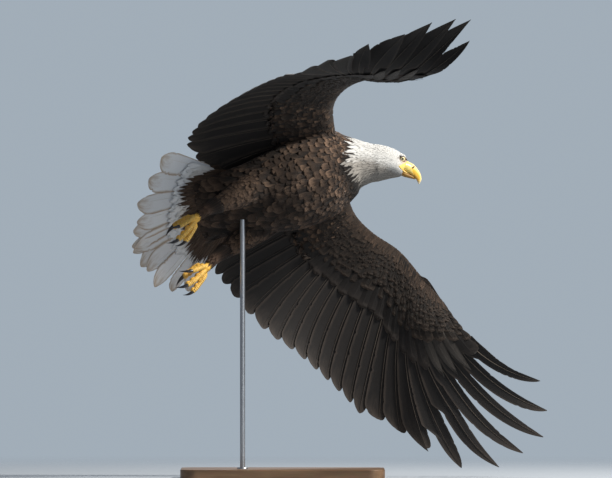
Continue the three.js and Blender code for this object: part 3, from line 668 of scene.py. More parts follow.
def vane_pattern():
    """Colour and relief of one vane: barbs that sweep outward to the tip, a shaft, a fringe, and
    painted shade that darkens it towards its root where the vanes overlap.
    """
    group = bpy.data.node_groups.new("vane_pattern", "ShaderNodeTree")
    for name, value in (("Barbs", 30), ("Sweep", 1), ("Contrast", 0.25), ("Shaft", 0.2),
                        ("Fringe start", 0.55), ("Root shade", 1.0)):
        socket = group.interface.new_socket(name, in_out="INPUT", socket_type="NodeSocketFloat")
        socket.default_value = value
    group.interface.new_socket("Color", in_out="OUTPUT", socket_type="NodeSocketColor")
    group.interface.new_socket("Height", in_out="OUTPUT", socket_type="NodeSocketFloat")
    given = group.nodes.new("NodeGroupInput")
    result = group.nodes.new("NodeGroupOutput")
    where = add_node(group, "ShaderNodeUVMap", uv_map="vane")
    split = add_node(group, "ShaderNodeSeparateXYZ")
    noise = add_node(group, "ShaderNodeTexNoise", in_2=7, in_3=3)
    wire(group,
         (where.outputs[0], split.inputs[0]),
         (where.outputs[0], noise.inputs["Vector"]))
    aside, ahead = split.outputs["X"], split.outputs["Y"]
    patchy = noise.outputs["Fac"]

    def maths(operation, a, b=0):
        node = add_node(group, "ShaderNodeMath", operation=operation)
        for socket, value in zip(node.inputs, (a, b)):
            if isinstance(value, (int, float)):
                socket.default_value = value
            else:
                wire(group, (value, socket))
        return node.outputs[0]

    def smooth_step(**settings):
        return add_node(group, "ShaderNodeMapRange", interpolation_type="SMOOTHSTEP", **settings)

    off = maths("ABSOLUTE", maths("SUBTRACT", aside, 0.5))
    swept = maths("SUBTRACT", ahead, maths("MULTIPLY", off, given.outputs["Sweep"]))
    turns = maths("MULTIPLY", given.outputs["Barbs"], 6.283)
    wave = maths("SINE", maths("MULTIPLY", swept, turns))
    stripes = maths("MULTIPLY", maths("MULTIPLY", wave, given.outputs["Contrast"]), patchy)
    edge = maths("MAXIMUM", maths("MULTIPLY", off, 2), maths("SUBTRACT", ahead, 0.05))
    worn = maths("MULTIPLY", maths("SUBTRACT", patchy, 0.5), 0.35)
    fringed = smooth_step(in_2=1.0)
    base = add_node(group, "ShaderNodeAttribute", attribute_name="marking")
    rim = add_node(group, "ShaderNodeAttribute", attribute_name="fringe")
    mixed = add_node(group, "ShaderNodeMix", data_type="RGBA")
    shaft = smooth_step(in_1=0.045, in_2=0.0, in_3=0.0)
    # Painted shade: each vane darkens towards its root, where the next vanes lie over it.
    root = smooth_step(in_1=0.30, in_2=0.85, in_4=1.0)
    barbs_and_root_shade = maths("MULTIPLY", maths("ADD", maths("ADD", 1.0, stripes), shaft.outputs[0]),
                root.outputs[0])
    toned = add_node(group, "ShaderNodeVectorMath", operation="SCALE")
    wire(group,
         (maths("ADD", edge, worn), fringed.inputs[0]),
         (given.outputs["Fringe start"], fringed.inputs[1]),
         (fringed.outputs[0], mixed.inputs["Factor"]),
         (base.outputs["Color"], mixed.inputs["A"]),
         (rim.outputs["Color"], mixed.inputs["B"]),
         (off, shaft.inputs[0]),
         (given.outputs["Shaft"], shaft.inputs[4]),
         (ahead, root.inputs[0]),
         (given.outputs["Root shade"], root.inputs[3]),
         (mixed.outputs["Result"], toned.inputs[0]),
         (barbs_and_root_shade, toned.inputs["Scale"]),
         (toned.outputs[0], result.inputs["Color"]),
         (maths("ADD", stripes, maths("MULTIPLY", shaft.outputs[0], 2)), result.inputs["Height"]))
    return group


VANE_PATTERN = vane_pattern()


def vane_material(name, roughness, sheen, barbs, sweep, contrast, shaft, fringe_start, relief,
                  root_shade=1.0):
    material, tree, shader = new_material(name)
    shader.inputs["Roughness"].default_value = roughness
    shader.inputs["Sheen Weight"].default_value = sheen
    shader.inputs["Sheen Roughness"].default_value = 0.5
    shader.inputs["Specular IOR Level"].default_value = 0.22
    pattern = add_node(tree, "ShaderNodeGroup", node_tree=VANE_PATTERN)
    for socket, value in (("Barbs", barbs), ("Sweep", sweep), ("Contrast", contrast),
                          ("Shaft", shaft), ("Fringe start", fringe_start),
                          ("Root shade", root_shade)):
        pattern.inputs[socket].default_value = value
    bump = add_node(tree, "ShaderNodeBump")
    bump.inputs["Distance"].default_value = relief
    wire(tree,
         (pattern.outputs["Color"], shader.inputs["Base Color"]),
         (pattern.outputs["Height"], bump.inputs["Height"]),
         (bump.outputs[0], shader.inputs["Normal"]))
    return material


def fill_mesh(name, points, quads, vane_uv, bake_uv, base, fringe, sharp):
    """A mesh from whole arrays: four corners to a face, maps, colours and edges held by vertex."""
    mesh = bpy.data.meshes.new(name)
    mesh.vertices.add(len(points))
    mesh.vertices.foreach_set("co", np.asarray(points, np.float32).ravel())
    mesh.loops.add(quads.size)
    mesh.loops.foreach_set("vertex_index", quads.astype(np.int32).ravel())
    mesh.polygons.add(len(quads))
    mesh.polygons.foreach_set("loop_start", np.arange(0, quads.size, 4, dtype=np.int32))
    mesh.polygons.foreach_set("use_smooth", np.ones(len(quads), bool))
    mesh.update(calc_edges=True)
    for title, values in (("vane", vane_uv), ("OFBake", bake_uv)):
        layer = mesh.uv_layers.new(name=title)
        layer.data.foreach_set("uv", values[quads.ravel()].astype(np.float32).ravel())
    paint(mesh, "marking", base)
    paint(mesh, "fringe", fringe)
    ends = np.empty(len(mesh.edges) * 2, np.int64)
    mesh.edges.foreach_get("vertices", ends)
    mark = sharp[ends.reshape(-1, 2)].all(1)
    mesh.attributes.new("sharp_edge", "BOOLEAN", "EDGE").data.foreach_set("value", mark)
    mesh.validate()
    return mesh


def lay_vanes(name, strands, base, fringe, material, droop=0.2):
    """One closed thin vane for each strand: a ring of four corners at each row of the strand.

    Strands are the middle line, the ways across and up, and the half width at each row.
    """
    centre, across, up, half = strands
    count, rows = half.shape
    along = unit(centre[:, -1] - centre[:, 0])
    hand = (np.cross(across[:, rows // 2], up[:, rows // 2]) * along).sum(-1) < 0
    across = np.where(hand[:, None, None], -across, across)
    half = half[..., None]
    ring = np.stack((centre - across * half - up * half * droop, centre + up * VANE_THICK,
                     centre + across * half - up * half * droop, centre - up * VANE_THICK), 2)
    corner = np.arange(4)
    starts = np.arange(count)[:, None] * rows * 4
    first = starts[:, None] + (np.arange(rows - 1) * 4)[:, None]
    a, b = first + corner, first + (corner + 1) % 4
    sides = np.stack((a, a + 4, b + 4, b), -1).reshape(-1, 4)
    caps = np.concatenate((starts + corner, starts + (rows - 1) * 4 + corner[::-1]))
    x = np.tile((0.0, 0.5, 1.0, 0.5), count * rows)
    y = np.tile(np.repeat(np.linspace(0, 1, rows), 4), count)
    vane_uv = np.stack((x, y), 1)
    roots = np.array([face_uv[skin_tree.find_nearest(Vector(point))[2]]
                      for point in centre[:, rows // 3]])
    bake_uv = np.repeat(roots, rows * 4, 0) + (vane_uv - 0.5) * PATCH
    mesh = fill_mesh(name, ring.reshape(-1, 3), np.concatenate((sides, caps)), vane_uv, bake_uv,
                     np.repeat(base, rows * 4, 0), np.repeat(fringe, rows * 4, 0),
                     np.tile((True, False, True, False), count * rows))
    new_piece(name, mesh, material)


def scatter(mesh, wanted, spacing):
    """Roots spread over the faces that are wanted, no two nearer than the spacing there."""
    mesh.calc_loop_triangles()
    corners = np.empty(len(mesh.loop_triangles) * 3, np.int64)
    mesh.loop_triangles.foreach_get("vertices", corners)
    corners = corners.reshape(-1, 3)
    points = read_points(mesh)
    centres = points[corners].mean(1)
    sides = points[corners[:, 1:]] - points[corners[:, :1]]
    areas = 0.5 * np.linalg.norm(np.cross(sides[:, 0], sides[:, 1]), axis=1)
    chance = areas / spacing(centres) ** 2 * wanted(centres, corners)
    tries = int(chance.sum() * 5)
    picked = rng.choice(len(corners), tries, p=chance / chance.sum())
    shares = rng.dirichlet((1, 1, 1), tries)
    spots = (points[corners[picked]] * shares[..., None]).sum(1)
    gaps = spacing(spots)
    tree = KDTree(tries)
    for index, spot in enumerate(spots):
        tree.insert(spot, index)
    tree.balance()
    alive = np.ones(tries, bool)
    kept = []
    for index in range(tries):
        if alive[index]:
            kept.append(index)
            for _, other, _ in tree.find_range(spots[index], gaps[index]):
                alive[other] = False
    return spots[kept]


def lie_of_coat(points, kinds):
    """The way feathers point at places on the body."""
    local = points - breast
    back = np.array((-1.0, 0, 0)) @ turn.T
    bird = to_bird(points)
    thigh = kinds == FLESH.index("thigh")
    axis = THIGH_AXIS * np.stack((np.ones(len(points)), np.sign(bird[:, 1]),
                                  np.ones(len(points))), 1)
    flow = np.where(thigh[:, None], unit(axis @ turn.T), back)
    headward = np.clip((local[:, 0] - 0.035) / 0.05, 0, 1)[:, None]
    headward = headward * (np.abs(local[:, 2:3]) < 0.13) * (kinds < 3)[:, None]
    return unit(blend(flow, HACKLES_BACK, headward))


def body_feathers(roots, kinds, length, half, rise, outline, stagger=0.16):
    """Strands that follow the hide from their roots, lifted off it towards their tips."""
    flow = lie_of_coat(roots, kinds)
    flow = unit(flow + rng.normal(0, stagger, flow.shape))
    length = length * rng.uniform(0.86, 1.14, len(roots))
    half = half * rng.uniform(0.86, 1.14, len(roots))
    steps, shares = outline
    centre = np.empty((len(roots), len(steps), 3))
    up = np.empty_like(centre)
    spot = roots.copy()
    before = 0.0
    for row, step in enumerate(steps):
        spot = spot + flow * (length * (step - before))[:, None]
        before = step
        for i, point in enumerate(spot):
            found, normal, _, _ = skin_tree.find_nearest(Vector(point))
            spot[i] = found
            up[i, row] = normal
        if row:
            up[:, row] = unit(0.5 * up[:, row] + 0.5 * up[:, row - 1])
        flow = unit(flow - up[:, row] * (flow * up[:, row]).sum(-1, keepdims=True))
        centre[:, row] = spot + up[:, row] * (0.0004 + rise * length * step ** 0.8)[:, None]
    ahead = unit(np.gradient(centre, axis=1))
    across = unit(np.cross(ahead, up))
    return centre, across, np.cross(across, ahead), half[:, None] * np.array(shares)


brown_vane = vane_material("brown_vane", 0.72, 0.05, 26, 0.5, 0.6, 0.25, 0.30, 0.0004, 0.42)
white_vane = vane_material("white_vane", 0.8, 0.0, 22, 0.5, 0.22, 0.05, 0.60, 0.0004, 0.80)

vertex_kinds = kinds


def kind_picker(*names):
    chosen = [FLESH.index(name) for name in names]
    return lambda centres, corners: np.isin(vertex_kinds[corners[:, 0]], chosen)


def vary(colours, amount):
    return colours * rng.uniform(1 - amount, 1 + amount, (len(colours), 1))


def is_white(points, kinds):
    return markings(points, kinds)[0][:, 0] > 0.25


def trunk_size(points):
    """Share of full feather size on the trunk, smaller towards the neck."""
    return np.interp((points - breast)[:, 0], (-0.02, 0.05), (1.0, 0.60))


trunk_roots = scatter(skin_mesh, kind_picker("trunk", "upper_arm"),
                      lambda at: TRUNK_SPACING * trunk_size(at))
trunk_kinds = kinds_at(trunk_roots)
pale = is_white(trunk_roots, trunk_kinds)
roots, root_kinds = trunk_roots[~pale], trunk_kinds[~pale]
bird = to_bird(roots)
long = (TRUNK_LONG + RUMP_LONGER * np.clip(-bird[:, 0] / 0.3, 0, 1)) * trunk_size(roots)
base, fringe = markings(roots, root_kinds)
strands = body_feathers(roots, root_kinds, long, TRUNK_HALF * trunk_size(roots), TRUNK_LIFT, ROUND)
for name, chosen in (("feathers_belly", bird[:, 2] < -0.05), ("feathers_back", bird[:, 2] >= -0.05)):
    lay_vanes(name, [values[chosen] for values in strands], vary(base[chosen], 0.40),
              vary(fringe[chosen], 0.5), brown_vane)

roots = scatter(skin_mesh, kind_picker("thigh"), lambda at: np.full(len(at), THIGH_SPACING))
root_kinds = kinds_at(roots)
base, fringe = markings(roots, root_kinds)
strands = body_feathers(roots, root_kinds, THIGH_LONG, THIGH_HALF, THIGH_LIFT, ROUND)
lay_vanes("feathers_thighs", strands, vary(base, 0.25), vary(fringe, 0.25), brown_vane)


def head_size(points):
    """Share of full hackle size at places on head and neck, smallest round the bill."""
    ahead = (points - breast)[:, 0]
    return np.clip((0.205 - ahead) / 0.115, 0.0, 1.0)


def clear_of_face(points):
    """Places off the eyes, the cere and the corners of the mouth."""
    local = points - breast - np.array((0, HEAD_SIDE, 0))
    off_eye = np.hypot(local[:, 0] - EYE.x - 0.001, 1.15 * (local[:, 2] - EYE.z + 0.001))
    bill_line = 0.2035 + 0.40 * np.clip(local[:, 2] + 0.0176, -0.03, 0.05)
    return (off_eye > EYE_RADIUS) & (local[:, 0] < bill_line) & (bare_face(points) < 0.4)


head_roots = scatter(skin_mesh, kind_picker("head", "neck"),
                     lambda at: 0.0024 + 0.0038 * head_size(at) ** 1.3)
head_roots = np.concatenate((head_roots, trunk_roots[pale]))
head_roots = head_roots[clear_of_face(head_roots)]
root_kinds = kinds_at(head_roots)
white = is_white(head_roots, root_kinds)
for name, chosen, material, slot, droop in (
        ("hackles_white", white, white_vane, "white_feathers", 0.25),
        ("feathers_collar", ~white, brown_vane, "body_feathers", 0.2)):
    roots = head_roots[chosen]
    base, fringe = markings(roots, root_kinds[chosen])
    share = head_size(roots)
    strands = body_feathers(roots, root_kinds[chosen], 0.0062 + 0.038 * share ** 1.2,
                            0.0016 + 0.0036 * share ** 1.3, 0.024 + 0.030 * share, LANCE, 0.10)
    streak = 1 - (0.05 + 0.26 * share[:, None]) * rng.uniform(0, 1, (len(roots), 1))
    lay_vanes(name, strands, base * streak, fringe * streak, material, droop)


# ---------------------------------------------------------------------------------------------
# Flight feathers: ten primaries and fifteen secondaries and tertials a wing, stiff dark vanes on
# pale shafts. Each one's broad inner vane lies under the narrow outer vane of the next.
SIDES = (("left", 1), ("right", -1))
PRIMARIES = 10
FEATHERS = 25
MIDDLE_AT = 0.45
WING_LEAD = ((0.236, 0.424, -0.177), (0.189, 0.376, -0.111), (0.141, 0.323, -0.044),
             (0.080, 0.272, -0.009), (0.040, 0.206, 0.010), (0.028, 0.066, 0.016))
WING_MIDDLE = ((0.308, 0.507, -0.289), (0.139, 0.528, -0.258), (0.041, 0.462, -0.156),
               (-0.080, 0.385, -0.074), (-0.146, 0.268, -0.020), (-0.135, 0.060, 0.028))
WING_TAIL = ((-0.058, 0.622, -0.300), (-0.121, 0.555, -0.240), (-0.187, 0.486, -0.190),
             (-0.266, 0.410, -0.145), (-0.337, 0.300, -0.079), (-0.367, 0.221, -0.052),
             (-0.300, 0.040, -0.020))
PRIMARY_TIPS = ((0.456, 0.644, -0.325), (0.459, 0.738, -0.347), (0.435, 0.794, -0.390),
                (0.371, 0.818, -0.412), (0.298, 0.823, -0.444), (0.195, 0.807, -0.435),
                (0.112, 0.741, -0.400), (0.049, 0.697, -0.350), (0.001, 0.663, -0.324),
                (-0.050, 0.636, -0.310))
# The raised right wing's free primaries are flexed back, twisted about their shafts between two
# shares of their length, and spread broader.
RIGHT_TIPS = ((0.434, 0.638, -0.329), (0.447, 0.730, -0.350), (0.406, 0.781, -0.394),
              (0.341, 0.807, -0.419), (0.263, 0.812, -0.450), (0.162, 0.796, -0.442),
              (0.110, 0.733, -0.407), (0.047, 0.689, -0.357), (-0.001, 0.655, -0.331),
              (-0.052, 0.628, -0.317))
TWIST = math.radians(55)
TWIST_FROM = 0.42
TWIST_TO = 0.78
TWIST_BROADER = 1.4
# How far each free primary of the left wing is bent back like a sabre past its slot, and how
# bluntly the free vanes of either wing run out.
SABRE = (0.002, 0.007, 0.008, 0.010, 0.010)
VANE_END = {1: (4.5, 0.72), -1: (2.6, 1.0)}
SLOTS = {1: (0.49, 0.48, 0.53, 0.56, 0.70, 0.86), -1: (0.50, 0.57, 0.57, 0.63, 0.71, 0.86)}
OUTER_VANES = {1: (0.014, 0.014, 0.015, 0.016, 0.019, 0.025, 0.027),
               -1: (0.015, 0.017, 0.019, 0.020, 0.022, 0.025, 0.027)}
INNER_VANES = {1: (0.017, 0.025, 0.026, 0.027, 0.029, 0.033),
               -1: (0.019, 0.029, 0.031, 0.032, 0.033, 0.033)}
FRONT_BROADER = 0.012
COVERTS_END = (0.46, 0.46, 0.40, 0.38, 0.42, 0.46)
ROOT_COVERED = 0.13
TIP_END = 1.018
ROUND_FROM = 0.925
INNER_REACH = 0.84
OUTER_REACH = 0.34
OUTER_MOST = 0.034
VANE_ROWS = 72
VANE_ACROSS = (-1, -0.72, -0.42, -0.12, 0, 0.12, 0.42, 0.72, 1)
VANE_THIN = 0.0009
PRIMARY_QUILL = 0.0019
SECONDARY_QUILL = 0.0013
SLATE = np.array((0.0138, 0.0118, 0.0109))
SLATE_EDGE = np.array((0.042, 0.033, 0.027))
SHAFT_HORN = np.array((0.075, 0.060, 0.047))


def through(stations, shares):
    """Smooth centripetal curve through the stations, read at shares of their count."""
    stations = np.asarray(stations, float)
    last = len(stations) - 1
    found = []
    for share in np.atleast_1d(shares):
        place = min(max(share, 0), 1) * last
        i = min(int(place), last - 1)
        w = place - i
        b, c = stations[i], stations[i + 1]
        a = stations[i - 1] if i > 0 else 2 * b - c
        d = stations[i + 2] if i + 2 <= last else 2 * c - b
        k0, k1, k2 = (math.sqrt(np.linalg.norm(q - p)) for p, q in ((a, b), (b, c), (c, d)))
        m1 = ((b - a) / k0 - (c - a) / (k0 + k1) + (c - b) / k1) * k1
        m2 = ((c - b) / k1 - (d - b) / (k1 + k2) + (d - c) / k2) * k1
        found.append(b + m1 * w + (3 * (c - b) - 2 * m1 - m2) * w ** 2
                     + (2 * (b - c) + m1 + m2) * w ** 3)
    return np.array(found)


shaft_index = np.concatenate(((-0.5,), np.arange(FEATHERS), (FEATHERS - 0.5,)))
shaft_share = (shaft_index + 0.5) / FEATHERS
wing_start = through(WING_LEAD, shaft_share)
wing_end, wing_handle = {}, {}
for side, tips in ((1, PRIMARY_TIPS), (-1, RIGHT_TIPS)):
    wing_end[side] = np.array([tips[max(0, int(f))] if f < PRIMARIES - 0.5 else
                               through(WING_TAIL, (f - PRIMARIES + 0.5) / (FEATHERS - PRIMARIES))[0]
                               for f in shaft_index])
    rest = 1 - MIDDLE_AT
    wing_handle[side] = (through(WING_MIDDLE, shaft_share) - rest ** 2 * wing_start
                         - MIDDLE_AT ** 2 * wing_end[side]) / (2 * MIDDLE_AT * rest)


def wing_point(feather, out, side):
    """Place on a wing, in the bird's frame, as if it were the left one: feather counted inward,
    out to the tips."""
    feather, out = np.broadcast_arrays(np.asarray(feather, float), np.asarray(out, float))
    place = np.interp(feather, shaft_index, np.arange(len(shaft_index)))
    i = np.minimum(place.astype(int), len(shaft_index) - 2)
    w = (place - i)[..., None]
    u = out[..., None]

    def bow(j):
        return (wing_start[j] * (1 - u) ** 2 + 2 * u * (1 - u) * wing_handle[side][j]
                + wing_end[side][j] * u * u)

    return blend(bow(i), bow(i + 1), w)


def wing_across(feather, out, side):
    return unit(wing_point(feather + 0.25, out, side) - wing_point(feather - 0.25, out, side))


def wing_up(feather, out, side):
    ahead = wing_point(feather, out + 0.01, side) - wing_point(feather, out - 0.01, side)
    return unit(np.cross(ahead, wing_across(feather, out, side)))


def coverts_end(feather):
    return np.interp((feather + 0.5) / FEATHERS, np.linspace(0, 1, len(COVERTS_END)),
                     COVERTS_END)


def notches(rows, depth):
    """Small splits where barbs have parted, as a factor on the width of a vane's edge."""
    cut = np.ones(rows)
    for _ in range(rng.integers(2, 6)):
        where = rng.integers(rows // 3, rows - 3)
        cut[where] -= rng.uniform(0.3, 1.0) * depth
        cut[where + 1] -= rng.uniform(0.0, 0.4) * depth
    return cut * rng.uniform(1 - depth * 0.12, 1, rows)


def plate_faces(rows, columns):
    """Faces of a closed plate whose upper grid is followed by its lower grid."""
    grid = np.arange(rows * columns).reshape(rows, columns)
    lower = grid + rows * columns

    def quads(a, b, c, d):
        return np.stack((a, b, c, d), -1).reshape(-1, 4)

    return np.concatenate((
        quads(grid[:-1, :-1], grid[:-1, 1:], grid[1:, 1:], grid[1:, :-1]),
        quads(lower[:-1, :-1], lower[1:, :-1], lower[1:, 1:], lower[:-1, 1:]),
        quads(grid[:-1, 0], grid[1:, 0], lower[1:, 0], lower[:-1, 0]),
        quads(grid[:-1, -1], lower[:-1, -1], lower[1:, -1], grid[1:, -1]),
        quads(grid[0, :-1], lower[0, :-1], lower[0, 1:], grid[0, 1:]),
        quads(grid[-1, :-1], grid[-1, 1:], lower[-1, 1:], lower[-1, :-1])))


def gather(name, parts, side, material, strips):
    """One mesh from many plates and shafts. Each part: points, quads, vane map, colours."""
    rows = []
    first = 0
    for number, (spots, faces, where, tone, rim) in enumerate(parts):
        faces = (faces[:, ::-1] if side > 0 else faces) + first
        first += len(spots)
        lower = np.arange(len(where)) >= len(where) // 2
        bake_uv = np.stack(((number % strips + 0.05 + 0.9 * where[:, 0]) / strips,
                            0.01 + 0.48 * where[:, 1] + 0.5 * lower), 1)
        on_edge = np.isin(where[:, 0], (0.0, 1.0)) | np.isin(where[:, 1], (0.0, 1.0))
        sharp = on_edge & (len(np.unique(where[:, 0])) > 1)
        rows.append((from_bird(spots * (1, side, 1)), faces, where, bake_uv, tone, rim, sharp))
    mesh = fill_mesh(name, *(np.concatenate(values) for values in zip(*rows)))
    return new_piece(name, mesh, material)


def stiff_vane(shaft, outer, inner, up, thin, tone, rim, notch, bow=0.035):
    """A flight or tail feather: a thin plate with its two edges parted from the shaft line."""
    rows = len(shaft)
    columns = np.array(VANE_ACROSS)[None, :, None]
    reach_out = (outer - shaft) * notches(rows, notch)[:, None]
    reach_in = (inner - shaft) * notches(rows, notch)[:, None]
    grid = shaft[:, None] + np.where(columns < 0, -columns * reach_out[:, None],
                                     columns * reach_in[:, None])
    camber = 1 - columns[..., 0] ** 2
    wide = np.linalg.norm(outer - inner, axis=1)[:, None]
    grid = grid + up[:, None] * (camber * wide * bow)[..., None]
    half = (thin * (0.35 + 0.65 * camber) / 2)[..., None] * up[:, None]
    points = np.concatenate(((grid + half).reshape(-1, 3), (grid - half).reshape(-1, 3)))
    y = np.repeat(np.linspace(0, 1, rows), len(VANE_ACROSS))
    x = np.tile(0.5 + 0.5 * np.array(VANE_ACROSS), rows)
    where = np.tile(np.stack((x, y), 1), (2, 1))
    tone = np.atleast_2d(tone)
    colours = np.tile(tone, (len(points) // len(tone), 1))
    return points, plate_faces(rows, len(VANE_ACROSS)), where, colours, np.tile(rim, (len(points), 1))


def shaft_rod(shaft, up, across, thick, tone):
    """The quill: a tapering rod with four sides that stands out of the vane on both faces."""
    rows = len(shaft)
    taper = np.linspace(1, 0.22, rows)[:, None] * thick
    ring = np.stack((shaft - across * taper * 0.8, shaft + up * taper,
                     shaft + across * taper * 0.8, shaft - up * taper * 1.1), 1)
    corner = np.arange(4)
    first = (np.arange(rows - 1) * 4)[:, None]
    a, b = first + corner, first + (corner + 1) % 4
    sides = np.stack((a, b, b + 4, a + 4), -1).reshape(-1, 4)
    caps = np.array((corner[::-1], (rows - 1) * 4 + corner))
    where = np.stack((np.full(rows * 4, 0.5), np.repeat(np.linspace(0, 1, rows), 4)), 1)
    colours = np.tile(tone, (rows * 4, 1))
    return ring.reshape(-1, 3), np.concatenate((sides, caps)), where, colours, colours


flight_vane = vane_material("flight_vane", 0.62, 0.02, 120, 0.35, 0.22, 0.0, 0.72, 0.0001)


def shaft_line(feather, out, side):
    """Shaft of a flight feather, with its bend past the slot on the left wing."""
    shaft = wing_point(feather, out, side)
    if side < 0 or not 0 <= feather < len(SABRE):
        return shaft
    free = np.clip((out - SLOTS[side][feather]) / (1 - SLOTS[side][feather]), 0, 1)[:, None]
    aside = unit(wing_point(feather + 1, out, side) - shaft)
    return shaft + aside * SABRE[feather] * 6.75 * free * free * (1 - free)


def spun(vectors, axes, angles):
    """Each vector turned about its own axis."""
    c, s = np.cos(angles)[:, None], np.sin(angles)[:, None]
    return (vectors * c + np.cross(axes, vectors) * s
            + axes * (vectors * axes).sum(1, keepdims=True) * (1 - c))


def flight_feather(feather, wing_side):
    """Shaft line, both edges and upward normals of one flight feather."""
    start = float(coverts_end(feather)) - ROOT_COVERED
    slots = SLOTS[wing_side]
    end = 1.0 if feather < len(slots) else TIP_END
    out = start + (end - start) * np.linspace(0, 1, VANE_ROWS) ** 0.9
    shaft = shaft_line(feather, out, wing_side)
    up = wing_up(feather, np.minimum(out, 1.0), wing_side)
    rounding = np.clip(out - ROUND_FROM, 0, 1) / (end + 0.001 - ROUND_FROM)
    tip = np.sqrt(np.clip(1 - rounding ** 2, 0.0004, 1))
    twisted = wing_side < 0 and feather < len(slots)
    ramp = np.clip((out - TWIST_FROM) / (TWIST_TO - TWIST_FROM), 0, 1)
    angles = TWIST * ramp * ramp * (3 - 2 * ramp) * twisted
    broad = TWIST_BROADER if twisted else 1.0
    along = unit(np.gradient(shaft, axis=0))
    edges = []
    for way, reach in ((-1, OUTER_REACH), (1, INNER_REACH)):
        beside = feather + way
        beyond = shaft_line(min(max(beside, -0.5), FEATHERS - 0.5), out, wing_side)
        if feather == 0 and way < 0:
            beyond = shaft + (beyond - shaft) * 1.6
        if feather == FEATHERS - 1 and way > 0:
            beyond = shaft + 2 * (beyond - shaft)
        side = unit(beyond - shaft)
        apart = np.linalg.norm(beyond - shaft, axis=1)
        closed = (reach * apart if way > 0 else np.minimum(reach * apart, OUTER_MOST)) * tip
        slot_of = feather if way > 0 else feather - 1
        if 0 <= slot_of < len(slots):
            free = np.clip((out - slots[slot_of]) / (1 - slots[slot_of]), 0, 1)
            vane = (INNER_VANES if way > 0 else OUTER_VANES)[wing_side][feather] * broad
            late, blunt = VANE_END[wing_side]
            open_wide = vane * np.maximum(0.02, 1 - free ** late) ** blunt
            share = np.clip(free * 8, 0, 1)
            wide = blend(closed, np.minimum(open_wide, closed + share), share)
        elif feather == 0 and way < 0:
            wide = OUTER_VANES[wing_side][0] * broad * np.maximum(0.02, 1 - np.clip(out, 0, 1) ** 8)
            wide = wide + FRONT_BROADER * (wing_side > 0) * np.clip((0.78 - out) / 0.3, 0, 1)
        else:
            wide = closed
        lean = way * np.minimum(1, wide / 0.02) * 0.0016
        edges.append(shaft + spun(side, along, angles) * wide[:, None]
                     - spun(up, along, angles) * lean[:, None])
    return shaft, edges[0], edges[1], spun(up, along, angles)


for side_name, side in SIDES:
    vanes, shafts = [], []
    for feather in range(FEATHERS):
        shaft, outer, inner, up = flight_feather(feather, side)
        tone = SLATE * rng.uniform(0.82, 1.2)
        vanes.append(stiff_vane(shaft, outer, inner, up, VANE_THIN, tone, SLATE_EDGE, 0.10))
        thick = PRIMARY_QUILL if feather < PRIMARIES else SECONDARY_QUILL
        across = unit(inner - outer)
        shafts.append(shaft_rod(shaft[:-2], up[:-2], across[:-2], thick,
                                SHAFT_HORN * rng.uniform(0.8, 1.15)))
    feathers = gather(f"flight_feathers_{side_name}", vanes, side, flight_vane,
                      FEATHERS)
    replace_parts(feathers, f"primaries_inner_{side_name}", f"secondaries_{side_name}",
                *[f"primary_{number}_{side_name}" for number in range(5, 11)])
    gather(f"quills_{side_name}", shafts, side, flight_vane, FEATHERS)


# ---------------------------------------------------------------------------------------------
# Wing coverts: tiled rows of soft vanes over both faces of the arm, from tiny scales on the
# front edge to one long greater covert over the root of each flight feather.
ARM_THICK = (0.005, 0.017, 0.025, 0.028, 0.038, 0.056)
COVERT_THICK = 0.006
UNDER_BROWN = np.array((0.0170, 0.0120, 0.0089))
UNDER_EDGE = np.array((0.060, 0.043, 0.032))
GREATER_SLATE = np.array((0.0180, 0.0150, 0.0134))
PALE_COVERT = np.array((0.064, 0.055, 0.047))
LEAD_BROWN = np.array((0.062, 0.040, 0.027))
COVERT_ROWS = 8
COVERT_STEPS = np.linspace(0, 1, COVERT_ROWS)
# Rows from the front edge back: root and tip as shares of the covered chord, vanes to each
# flight feather, half width as a share of the space between two, and lift of the tip.
COVERT_TIERS = (
    (-0.01, 0.15, 2.4, 0.46, 0.0012), (0.05, 0.22, 2.0, 0.42, 0.0020),
    (0.11, 0.28, 2.0, 0.42, 0.0021), (0.17, 0.34, 1.9, 0.42, 0.0022),
    (0.23, 0.41, 1.8, 0.44, 0.0023), (0.29, 0.48, 1.7, 0.46, 0.0024),
    (0.36, 0.56, 1.5, 0.50, 0.0026), (0.43, 0.65, 1.3, 0.56, 0.0028),
    (0.51, 0.78, 1.0, 0.66, 0.0032), (0.60, 1.05, 1.0, 0.70, 0.0036))


def into_world(centre, across, up, half, side=1):
    """Strands of the bird's own frame, mirrored for the right side, in the frame of the scene."""
    flip = np.array((1, side, 1))
    return from_bird(centre * flip), (across * flip) @ turn.T, (up * flip) @ turn.T, half


def arm_half(feather, share):
    """Half thickness of the covered arm, less the depth of its coat."""
    full = np.interp((feather + 0.5) / FEATHERS, np.linspace(0, 1, len(ARM_THICK)), ARM_THICK)
    row = np.clip(share, 0, 1)
    swell = 2.6 * np.sqrt(row + 0.003) * (1 - row)
    half = (COVERT_THICK * (0.4 + 0.6 * row) + np.maximum(0, full - COVERT_THICK) * swell) / 2
    coat = np.interp(full, (0.005, 0.02, 0.06), (0.0008, 0.0022, 0.0035))
    return np.maximum(half - coat, 0.0012)


covert_vane = vane_material("covert_vane", 0.62, 0.05, 34, 0.5, 0.5, 0.35, 0.62, 0.0004, 0.6)

